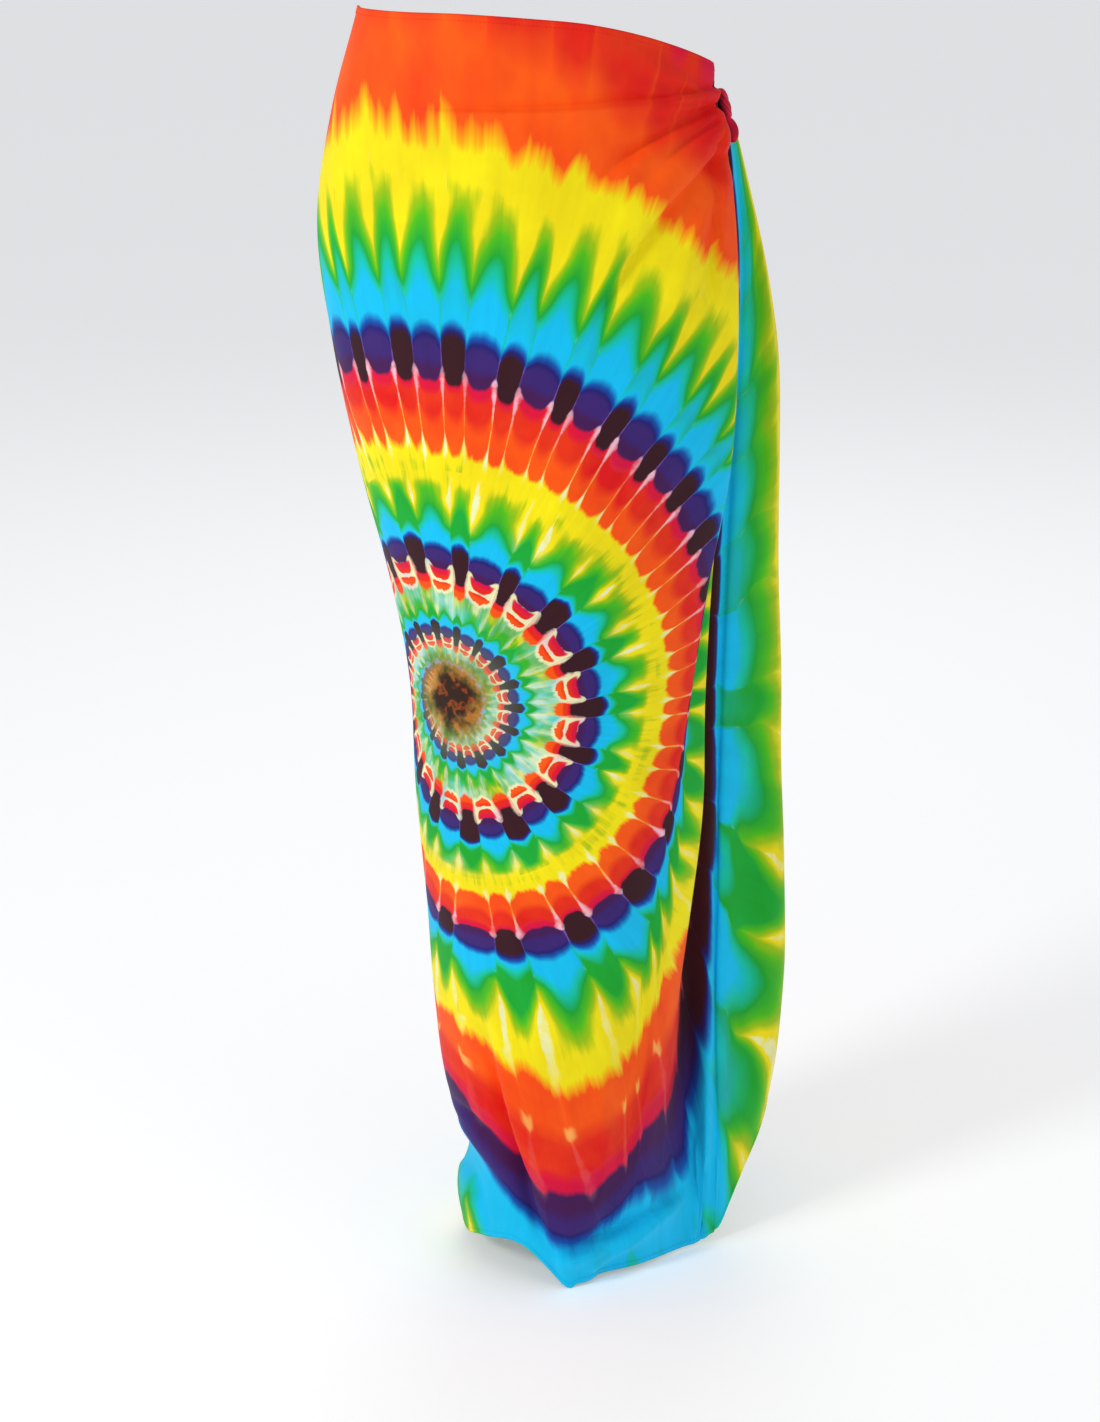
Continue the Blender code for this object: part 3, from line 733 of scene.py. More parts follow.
@dataclass(frozen=True)
class DyeSpot:
    """What the shader knows of one point on the dyed cloth, as sockets.

    ring counts turns of the spiral and share is its part of one turn. bulge is
    0 on the creases between folds, swing is 1 on folds inside the bundle, and
    apart is 0 where small folds meet large ones. The rest mark regions: near
    the middle, above and below it, the hidden gathers and their deep upper
    part, where dark dye is painted in as shade, and the upper corner at the free end.
    """

    cloth: Socket
    radius: Socket
    ring: Socket
    share: Socket
    streak: Socket
    wander: Socket
    bulge: Socket
    swing: Socket
    chance: Socket
    apart: Socket
    near: Socket
    above: Socket
    below: Socket
    gathers: Socket
    deep: Socket
    corner: Socket


@dataclass(frozen=True)
class SpiralDye:
    """The dye of a cloth that was twisted from one point into a spiral bundle.

    A ring value counts turns of the spiral outwards and picks the dye. A lobe
    value counts the bundle's folds round the middle, which scallop every band.
    The curves give, along one turn, how far a fold's crease draws the dye, how
    far bars reach near the middle, and how wide the undyed lines are. A Line
    is the gain and the start of a straight line. Shifts are shares of a turn.
    """

    palette: DyePalette = DyePalette()
    regions: DyeRegions = DyeRegions()
    noises: DyeNoises = DyeNoises()
    purple_radius: float = 0.308
    turns_at_purple: float = 2.0
    turns_per_e: float = 1.32
    inner_lobes: float = 34.0
    outer_lobes: float = 60.0
    outer_crowding: float = 0.30
    folds_meet_at: float = 0.180
    folds_meet_sway: float = 0.019
    fold_chance: float = 0.50
    fold_level: Line = (0.03, 0.04)
    fold_drift: float = 1.3
    upper_swell: float = 0.085
    curve_scale: float = 2.0
    width_scale: float = 0.9
    wedge: Curve = (
        (0.00, 0.00), (0.12, 0.02), (0.19, 0.09), (0.28, 0.18), (0.42, 0.16), (0.50, 0.06),
        (0.56, -0.03), (0.64, -0.05), (0.78, -0.02), (1.00, 0.00))
    rounding: Curve = (
        (0.00, 0.00), (0.04, 0.035), (0.11, 0.035), (0.17, 0.00), (0.58, 0.00), (0.64, -0.05),
        (0.76, -0.05), (0.88, -0.08), (0.94, -0.08), (1.00, 0.00))
    bars: Curve = (
        (0.00, 0.00), (0.08, -0.07), (0.17, -0.12), (0.27, -0.07), (0.36, 0.00), (0.70, 0.00),
        (0.79, 0.09), (0.85, 0.08), (0.92, 0.04), (0.97, 0.00), (1.00, 0.00))
    line_widths: Curve = (
        (0.00, 0.09), (0.05, 0.05), (0.10, 0.10), (0.30, 0.10), (0.36, 0.00), (0.52, 0.00),
        (0.565, 0.48), (0.60, 0.36), (0.63, 0.13), (0.72, 0.12), (0.80, 0.16), (0.88, 0.34),
        (0.925, 0.50), (0.945, 0.30), (0.960, 0.10), (1.00, 0.09))
    blobs: Curve = ((0.985, 0.080), (0.880, 0.060), (0.735, 0.066))
    blob_breadth: float = 0.76
    blob_size: Line = (0.90, 0.45)
    spots_at: float = 0.748
    yellow_at: float = 0.555
    wedge_reach: Line = (1.2, 0.45)
    wedge_power: float = 0.95
    rounding_power: float = 2.6
    most_shift: Line = (0.45, 0.370)
    least_most: float = 0.02
    bar_reach: Line = (0.75, 0.25)
    broad_shift: float = 0.06
    late_shift: float = -0.028
    narrow_shift: float = 0.050
    chance_shift: float = 0.05
    streak_shift: float = 0.026
    ragged_shift: float = 0.110
    near_width: float = 0.20
    speckled_width: Line = (1.5, 0.25)
    least_width: float = 0.002
    worn_lines: Line = (0.55, 0.45)
    bare_lines: float = 0.8
    bare_gaps: float = 0.92
    pale_spots: float = 0.8
    rim_unevenness: float = 0.040
    mottled_hue: Line = (0.022, 0.5)
    mottled_value: Line = (0.30, 1.0)
    streaked_value: float = 0.25
    corner_damp: float = 0.75
    calm_damp: float = 0.72
    cool_damp: float = 0.80
    below_damp: float = 0.95
    hushed_damp: float = 0.93
    dotted_damp: float = 0.90

    def group(self) -> bpy.types.NodeTree:
        """Builds the node group that turns cloth coordinates into dye colour."""
        g, inputs, outputs = new_group(
            "Spiral dye", {"Bands": "Vector", "Cloth": "Vector"}, {"Color": "Color"})
        spot = self._spot(g, inputs["Bands"], inputs["Cloth"])
        place = self._place(g, spot)
        inside = self._inner_dye_and_shade(g, spot, place)
        # The inner-fold ramp is both the dye of inner folds and the painted shade of the upper hidden
        # gathers.
        colour = g.mix(inside, g.ramp(place, self.palette.outer_folds()),
                       g.ramp(place, self.palette.inner_folds()))
        colour = self._lines(g, colour, spot, place)
        colour = self._gaps(g, colour, spot, place, inside)
        colour = self._core(g, colour, spot)
        g.put(outputs["Color"], self._mottle(g, colour, spot))
        return g.tree

    def _spot(self, g: Graph, bands: Socket, cloth: Socket) -> DyeSpot:
        """Works out where on the dyed cloth a point lies.

        Args:
            g: the graph.
            bands: flat places that the colour bands follow.
            cloth: flat places that the folds follow.

        Returns:
            The spot's sockets.
        """
        at, noises = self.regions, self.noises
        band_radius, band_turn = self._polar(g, bands)
        radius, turn = self._polar(g, cloth)
        broad = g.sub(g.noise(cloth, *noises.broad), 0.5)
        ring = g.fma(broad, self.broad_shift, self._ring(g, band_radius, band_turn))
        x, y = g.plane(cloth)
        cosine = self._wave(g, "COSINE", turn)
        bulge, swing, chance, apart = self._folds(g, cloth, radius, turn)
        return DyeSpot(
            cloth=cloth, radius=radius, ring=ring, share=self._share(g, ring),
            streak=self._streak(g, turn, radius, *noises.streak),
            wander=self._streak(g, turn, radius, *noises.wander),
            bulge=bulge, swing=swing, chance=chance, apart=apart,
            near=g.fade(radius, at.near),
            above=g.mul(g.fade(cosine, at.upper), g.fade(radius, at.upper_from)),
            below=g.mul(g.fade(cosine, at.lower), g.fade(radius, at.lower_from)),
            gathers=g.window(x, at.gathers),
            # Painted shade: the upper part of the hidden gathers, dyed as inner folds to darken the deep
            # valley.
            deep=g.fade(y, at.deep),
            corner=g.mul(g.fade(x, at.corner_across), g.fade(y, at.corner_up)))

    def _place(self, g: Graph, spot: DyeSpot) -> Socket:
        """Shifts the plain spiral by the scallops and runs that each fold gives it.

        Args:
            g: the graph.
            spot: where the point lies.

        Returns:
            The share of one turn, which picks the dye.
        """
        share, at = spot.share, self.regions
        fringe = g.mul(g.fade(share, at.from_yellow), g.fade(share, at.to_red))
        hem = g.math("MAXIMUM", g.fade(share, at.from_yellow), g.fade(share, at.to_blue))
        calm = g.math("MAXIMUM", g.mul(spot.above, fringe), g.mul(spot.below, hem))
        from_crease = g.math("SUBTRACT", 1.0, spot.bulge, clamp=True)
        wedge, rounding, bars = (self._curve(g, share, points, self.curve_scale)
                                 for points in (self.wedge, self.rounding, self.bars))
        reach = g.mul(g.fma(spot.wander, *self.wedge_reach), g.damp(spot.corner, self.corner_damp))
        shift = g.mul(wedge, reach, g.math("POWER", from_crease, self.wedge_power))
        shift = g.fma(rounding, g.math("POWER", from_crease, self.rounding_power), shift)
        most = g.math("MAXIMUM", g.sub(g.fma(share, *self.most_shift), share), self.least_most)
        shift = g.mul(g.math("MINIMUM", shift, most), g.damp(calm, self.calm_damp))
        joined = g.mul(g.window(share, at.yellow), g.less(spot.apart))
        shift = g.mul(shift, g.less(joined))
        shift = g.fma(g.sub(self.yellow_at, share), joined, shift)
        narrow = g.mul(g.window(share, at.purple_edge), spot.below)
        shift = g.fma(narrow, self.narrow_shift, shift)
        late = g.mul(g.window(share, at.late_yellow), g.fade(spot.radius, at.middle_ring))
        shift = g.fma(late, self.late_shift, shift)
        shift = g.fma(g.mul(bars, spot.near), g.fma(spot.swing, *self.bar_reach), shift)
        shift = g.fma(g.mul(g.sub(spot.chance, 0.5), spot.swing), self.chance_shift, shift)
        shift = g.fma(g.sub(spot.streak, 0.5),
                      g.fma(g.window(share, at.ragged), self.ragged_shift, self.streak_shift), shift)
        return self._share(g, g.add(spot.ring, shift))

    def _share(self, g: Graph, ring: Socket) -> Socket:
        """The part of one turn, also where the ring count is below 0."""
        return g.math("FRACT", g.add(ring, 8.0))

    def _inner_dye_and_shade(self, g: Graph, spot: DyeSpot, place: Socket) -> Socket:
        """How far a point shows the darker dye of folds inside the bundle, and the painted shade of the deep
        valley: in the upper part of the hidden gathers it is full, so the near-black inner dye stands in for
        shadow there.
        """
        cool = g.mul(spot.above, g.window(place, self.regions.cool))
        inside = g.mul(spot.swing, g.damp(cool, self.cool_damp), g.damp(spot.below, self.below_damp))
        # Painted shade: in the hidden gathers the mask follows deep alone, so their upper part shows the
        # near-black inner dye in place of the valley's shadow, and their lower part the outer dye.
        return g.fma(spot.gathers, g.sub(spot.deep, inside), inside)

    def _polar(self, g: Graph, where: Socket) -> tuple[Socket, Socket]:
        """Distance from the spiral's middle, and turn clockwise from straight up."""
        x, y = g.plane(where)
        radius = g.math("MAXIMUM", g.math("SQRT", g.add(g.mul(x, x), g.mul(y, y))), 0.004)
        return radius, g.math("DIVIDE", g.math("ARCTAN2", x, y), 2.0 * math.pi)

    def _wave(self, g: Graph, kind: str, turn: Socket) -> Socket:
        """Sine or cosine of a turn."""
        return g.math(kind, g.mul(turn, 2.0 * math.pi))

    def _ring(self, g: Graph, radius: Socket, turn: Socket) -> Socket:
        """Turns of the spiral counted outwards: whole numbers are purple."""
        log = g.math("LOGARITHM", g.math("DIVIDE", radius, self.purple_radius), math.e)
        ring = g.fma(log, self.turns_per_e, self.turns_at_purple)
        tilt = g.span(radius, *self.regions.middle_tilt)
        cosine = self._wave(g, "COSINE", turn)
        ring = g.fma(g.math("MAXIMUM", cosine, 0.0), self.upper_swell, ring)
        return g.fma(tilt, cosine, g.add(ring, turn))

    def _streak(self, g: Graph, turn: Socket, radius: Socket, across: float, along_log: float) -> Socket:
        """Noise drawn out from the middle, the same on both sides of a full turn."""
        log = g.math("LOGARITHM", radius, math.e)
        where = g.vector(g.mul(self._wave(g, "SINE", turn), across),
                         g.mul(self._wave(g, "COSINE", turn), across), g.mul(log, along_log))
        return g.noise(where, *self.noises.drawn_out)

    def _curve(self, g: Graph, share: Socket, points: Curve, scale: float) -> Socket:
        """Reads a small curve of signed values from a grey ramp."""
        stops = tuple((at, (0.5 + value * scale,) * 3) for at, value in points)
        return g.math("DIVIDE", g.sub(g.ramp(share, stops), 0.5), scale)

    def _folds(self, g: Graph, cloth: Socket, radius: Socket, turn: Socket) -> tuple[Socket, ...]:
        """The bundle's folds round the middle.

        Args:
            g: the graph.
            cloth: flat places on the cloth.
            radius: distance from the middle.
            turn: turn round the middle.

        Returns:
            How far inside its own fold a point lies, from 0 at the crease to 1,
            whether that fold lay inside the bundle, a chance for each pair, and
            0 on the line where the small folds meet the large ones.
        """
        limit = g.fma(self._wave(g, "COSINE", turn), self.folds_meet_sway, self.folds_meet_at)
        apart = g.fade(g.math("ABSOLUTE", g.sub(radius, limit)), self.regions.folds_apart)
        outer = g.math("GREATER_THAN", radius, limit)
        count = g.fma(outer, self.outer_lobes - self.inner_lobes, self.inner_lobes)
        crowd = g.mul(outer, self.outer_crowding / (2.0 * math.pi))
        drift = g.mul(g.sub(g.noise(cloth, *self.noises.drift), 0.5), self.fold_drift)
        lobe = g.add(g.mul(g.fma(self._wave(g, "SINE", turn), crowd, turn), count), drift)
        pair = g.math("FLOOR", g.mul(g.add(lobe, 0.5), 0.5))
        pair = g.math("FLOORED_MODULO", pair, g.mul(count, 0.5))
        white = g.fill("ShaderNodeTexWhiteNoise", g.vector(pair, outer), noise_dimensions="2D")
        chance = white.outputs["Value"]
        level = g.fma(chance, self.fold_chance, g.fma(outer, *self.fold_level))
        over = g.sub(g.math("SINE", g.mul(lobe, math.pi)), level)
        inner_part = g.math("DIVIDE", over, g.less(level))
        outer_part = g.math("DIVIDE", over, g.sub(-1.0, level))
        bulge = g.math("MAXIMUM", inner_part, outer_part)
        return bulge, g.fade(over, self.regions.crease_edge), chance, apart

    def _near_warm(self, g: Graph, spot: DyeSpot, place: Socket) -> Socket:
        """The warm part of a turn near the middle, where much cloth stayed undyed."""
        return g.mul(spot.near, g.window(place, self.regions.warm))

    def _bare(self, g: Graph, spot: DyeSpot) -> Socket:
        """Colour of the nearly undyed cloth."""
        return g.ramp(g.noise(spot.cloth, *self.noises.bare), self.palette.bare_cloth())

    def _lines(self, g: Graph, colour: Socket, spot: DyeSpot, place: Socket) -> Socket:
        """Draws the undyed lines between folds.

        Args:
            g: the graph.
            colour: the dye so far.
            spot: where the point lies.
            place: share of one turn, after the folds' shifts.

        Returns:
            The colour with its pale lines.
        """
        at = self.regions
        near_warm = self._near_warm(g, spot, place)
        speckle = g.noise(spot.cloth, *self.noises.speckle)
        width = g.fma(near_warm, self.near_width, self._curve(g, place, self.line_widths, self.width_scale))
        width = g.math("MAXIMUM", g.mul(width, g.fma(speckle, *self.speckled_width)), self.least_width)
        line = g.math("SUBTRACT", 1.0, g.math("DIVIDE", spot.bulge, width), clamp=True)
        hushed = g.math("MAXIMUM", spot.below, spot.gathers)
        line = g.mul(g.fade(line, at.line_edge), g.fma(g.fade(speckle, at.line_worn), *self.worn_lines))
        line = g.mul(line, g.span(spot.wander, *at.line_wander))
        line = g.mul(line, g.less(g.mul(spot.above, g.fade(place, at.from_yellow))))
        line = g.mul(line, g.damp(hushed, self.hushed_damp), spot.apart)
        line = g.mul(line, g.damp(g.mul(near_warm, g.less(spot.swing)), self.dotted_damp))
        undyed = g.ramp(place, self.palette.line_colours())
        undyed = g.mix(g.mul(near_warm, self.bare_lines), undyed, self._bare(g, spot))
        return g.mix(line, colour, undyed)

    def _gaps(self, g: Graph, colour: Socket, spot: DyeSpot, place: Socket, inside: Socket) -> Socket:
        """Adds the bare and cool gaps of the small inner rings and the pale spots near the hem.

        Args:
            g: the graph.
            colour: the dye so far.
            spot: where the point lies.
            place: share of one turn, after the folds' shifts.
            inside: how far the point shows the dye of inner folds, which is also painted shade in the upper
                hidden gathers.

        Returns:
            The colour with its gaps and spots.
        """
        at = self.regions
        wide = g.math("DIVIDE", g.less(spot.bulge), self.blob_breadth)
        clear = 1.0
        for middle, half in self.blobs:
            size = g.mul(g.fma(spot.wander, *self.blob_size), half)
            high = g.math("DIVIDE", g.sub(place, middle), size)
            far = g.add(g.mul(high, high), g.mul(wide, wide))
            clear = g.math("MINIMUM", clear, g.fade(far, at.blob_edge))
        bare = g.mul(self._near_warm(g, spot, place), g.less(inside), clear)
        colour = g.mix(g.mul(bare, self.bare_gaps), colour, self._bare(g, spot))
        cool = g.mul(g.window(place, at.cooled), spot.near, g.span(spot.wander, *at.cooled_wander))
        cool_dye = g.ramp(g.noise(spot.cloth, *self.noises.cool), self.palette.cool_cloth())
        colour = g.mix(cool, colour, cool_dye)
        level = g.fade(g.math("ABSOLUTE", g.sub(place, self.spots_at)), at.spot_height)
        pale = g.mul(level, g.fade(spot.bulge, at.spot_breadth), g.mul(spot.below, self.pale_spots))
        return g.mix(pale, colour, (*self.palette.apricot, 1.0))

    def _core(self, g: Graph, colour: Socket, spot: DyeSpot) -> Socket:
        """The muddy middle, where every dye met."""
        at, palette = self.regions, self.palette
        faded = g.mix(g.span(spot.radius, *at.core_haze), colour, (*palette.haze, 1.0))
        rough = g.noise(spot.cloth, *self.noises.rim)
        edge = g.fma(g.sub(rough, 0.5), self.rim_unevenness, spot.radius)
        rim = g.mix(g.span(edge, *at.core_rim), faded, g.ramp(rough, palette.rim()))
        flecks = g.ramp(g.noise(spot.cloth, *self.noises.flecks), palette.core())
        return g.mix(g.fade(edge, at.core_mud), rim, flecks)

    def _mottle(self, g: Graph, colour: Socket, spot: DyeSpot) -> Socket:
        """Uneven take-up of the dye."""
        broad = g.sub(g.noise(spot.cloth, *self.noises.mottle), 0.5)
        value = g.fma(g.sub(spot.streak, 0.5), self.streaked_value, g.fma(broad, *self.mottled_value))
        hue = g.node("ShaderNodeHueSaturation")
        g.give(hue, {"Hue": g.fma(broad, *self.mottled_hue), "Value": value, "Color": colour})
        return hue.outputs[0]


@dataclass(frozen=True)
class Weave:
    """Plain-woven rayon: fine crossed threads and a soft crumple."""

    threads_per_metre: float = 2100.0
    crumple: Noise = (55.0, 3.0, 0.5)
    slub: Noise = (160.0, 2.0, 0.5)
    slub_stretch: float = 14.0
    slub_roughness: Line = (0.16, 0.62)
    thread_height: float = 0.00004
    slub_height: float = 0.00006
    crumple_height: float = 0.0007

    def group(self) -> bpy.types.NodeTree:
        """Builds the node group that gives the cloth's fine height and roughness."""
        g, inputs, outputs = new_group("Rayon weave", {"Cloth": "Vector"},
                                       {"Height": "Float", "Roughness": "Float"})
        x, y = g.plane(inputs["Cloth"])
        rate = self.threads_per_metre * math.pi
        warp, weft = (g.math("SINE", g.mul(way, rate)) for way in (x, y))
        slub = g.noise(g.vector(x, g.mul(y, self.slub_stretch)), *self.slub)
        crumple = g.noise(inputs["Cloth"], *self.crumple)
        height = g.fma(slub, self.slub_height, g.mul(warp, weft, self.thread_height))
        g.put(outputs["Height"], g.fma(crumple, self.crumple_height, height))
        g.put(outputs["Roughness"], g.fma(slub, *self.slub_roughness))
        return g.tree


@dataclass(frozen=True, kw_only=True)
class Rayon:
    """Matte rayon with a faint sheen. Each kind says how it is coloured."""

    name: str
    weave: bpy.types.NodeTree
    relief: float = 0.6
    sheen: float = 0.06
    sheen_roughness: float = 0.45
    specular: float = 0.20

    def colour(self, g: Graph) -> tuple[Socket, Socket]:
        """Gives the colour, and the places that the weave follows."""
        raise NotImplementedError

    def material(self) -> bpy.types.Material:
        """Builds the material."""
        material = bpy.data.materials.new(self.name)
        material.use_nodes = True
        g = Graph(material.node_tree)
        colour, where = self.colour(g)
        weave = g.node("ShaderNodeGroup", node_tree=self.weave)
        g.give(weave, {"Cloth": where})
        bump = g.node("ShaderNodeBump")
        g.give(bump, {"Strength": self.relief, "Distance": 1.0, "Height": weave.outputs["Height"]})
        g.give(material.node_tree.nodes["Principled BSDF"], {
            "Base Color": colour, "Roughness": weave.outputs["Roughness"], "Normal": bump.outputs[0],
            "Sheen Weight": self.sheen, "Sheen Roughness": self.sheen_roughness,
            "Specular IOR Level": self.specular})
        return material


@dataclass(frozen=True, kw_only=True)
class DyedRayon(Rayon):
    """Rayon with the spiral dye."""

    dye: bpy.types.NodeTree

    def colour(self, g: Graph) -> tuple[Socket, Socket]:
        """Gives the dye's colour, and the flat cloth's places."""
        bands, cloth = (g.node("ShaderNodeUVMap", uv_map=name).outputs[0] for name in ("bands", "cloth"))
        dye = g.node("ShaderNodeGroup", node_tree=self.dye)
        g.give(dye, {"Bands": bands, "Cloth": cloth})
        return dye.outputs["Color"], cloth


@dataclass(frozen=True, kw_only=True)
class PlainDyed(Rayon):
    """Rayon of one dye, for the knot and its end."""

    deep: Colour
    bright: Colour
    mottle_scale: float = 90.0
    relief: float = 0.5
    sheen: float = 0.12
    sheen_roughness: float = 0.5

    def colour(self, g: Graph) -> tuple[Socket, Socket]:
        """Gives the mottled dye, and the piece's own places."""
        where = g.node("ShaderNodeTexCoord").outputs["Object"]
        stops = ((0.30, self.deep), (0.70, self.bright))
        return g.ramp(g.noise(where, self.mottle_scale, 3.0), stops), where


def new_piece(name: str, bm: bmesh.types.BMesh, material: bpy.types.Material) -> bpy.types.Object:
    """Turns a bmesh into a finished, smooth-shaded object.

    Args:
        name: the piece's name.
        bm: its form, freed here.
        material: its finish.

    Returns:
        The object, linked to the scene.
    """
    mesh = bpy.data.meshes.new(name)
    bm.to_mesh(mesh)
    bm.free()
    for face in mesh.polygons:
        face.use_smooth = True
    mesh.materials.append(material)
    piece = bpy.data.objects.new(name, mesh)
    bpy.context.scene.collection.objects.link(piece)
    return piece


@dataclass(frozen=True)
class DyeMap:
    """Where each point of the worn cloth lies on the flat, dyed cloth.

    middle_x and middle_z are the spiral's middle on the front. From the first
    crest on, gathers hide cloth, so the places across are set by station.
    """

    middle_x: float = -0.071
    middle_z: float = -0.557
    mid: int = 4
    crest1: int = 7
    crest3: int = 11
    hidden_share: tuple[float, ...] = (0.0, 0.28, 0.38, 0.75, 1.0)
    cascade_across: tuple[float, ...] = (0.555, 0.585, 0.615, 0.755, 0.825, 0.895)
    band_squeeze: tuple[float, ...] = (1.0, 0.97, 0.92, 0.70, 0.45, 0.40, 0.36, 0.36, 0.36, 0.36)
    top_from: float = 0.46
    top_slope: float = 0.62
    low_from: float = 0.25
    low_full: float = 0.40
    low_stretch: float = -0.055
    tug: float = 0.070
    tug_heights: Fade = (0.74, 0.96)
    flare_tug: float = 0.055
    flare_heights: Fade = (0.98, 1.09)
    tug_across: Fade = (-0.04, 0.09)
    green_rise: float = 0.11
    green_heights: Fade = (-0.85, -0.28)

    def down(self, x: Array, z: Array) -> Array:
        """Places up and down the flat cloth, from the spiral's middle.

        Args:
            x: across the worn cloth, because its low left corner is tugged up.
            z: heights on the worn cloth.

        Returns:
            The places, negative below the middle.
        """
        up = z - self.middle_z
        up = np.where(up > self.top_from, self.top_from + (up - self.top_from) * self.top_slope, up)
        up = up * (1.0 + self.low_stretch * smooth_step(self.low_from, self.low_full, -up))
        pull = (self.tug * smooth_step(*self.tug_heights, -z)
                + self.flare_tug * smooth_step(*self.flare_heights, -z))
        return up - pull * smooth_step(*self.tug_across, -x)

    def outer(self, points: Array, t_row: Array, form: WrapForm) -> tuple[Array, Array]:
        """Flat places of the outer sheet.

        Args:
            points: its grid of points, row by row.
            t_row: the stations' count at each column.
            form: the wrap's form.

        Returns:
            The places for the fold lobes, and those for the colour bands.
        """
        run = run_lengths(points[..., :2], 1)
        mid = int(np.argmin(np.abs(t_row - self.mid)))
        start = form.front.read("mid", points[:, mid, 2]) - self.middle_x
        across = run - run[:, mid:mid + 1] + start[:, None]
        first = int(np.argmin(np.abs(t_row - self.crest1)))
        at_crest = across[:, first:first + 1]
        hidden = np.interp(t_row, np.arange(self.crest1, self.crest3 + 1), self.hidden_share)
        gathered = at_crest + (self.cascade_across[0] - at_crest) * hidden[None, :]
        free = np.interp(t_row, np.arange(self.crest3, self.crest3 + 6), self.cascade_across)
        across = np.where(t_row[None, :] <= self.crest1, across, gathered)
        across = np.where(t_row[None, :] > self.crest3, free[None, :], across)
        down = self.down(points[..., 0], points[..., 2])
        squeeze = np.interp(t_row, self.crest1 + np.arange(len(self.band_squeeze)), self.band_squeeze)
        on_cascade = smooth_step(self.crest3 - 0.5, self.crest3 + 1.0, t_row)[None, :]
        rise = smooth_step(*self.green_heights, points[..., 2])
        banded = across * (1.0 + self.green_rise * rise * on_cascade)
        return np.stack([across, down], axis=2), np.stack([banded, down * squeeze[None, :]], axis=2)

    def back(self, points: Array, left_across: Callable[[Array], Array]) -> Array:
        """Flat places of the back sheet, counted on from the left side."""
        run = run_lengths(points[..., :2], 1)
        across = left_across(points[:, 0, 2])[:, None] - run
        return np.stack([across, self.down(points[..., 0], points[..., 2])], axis=2)


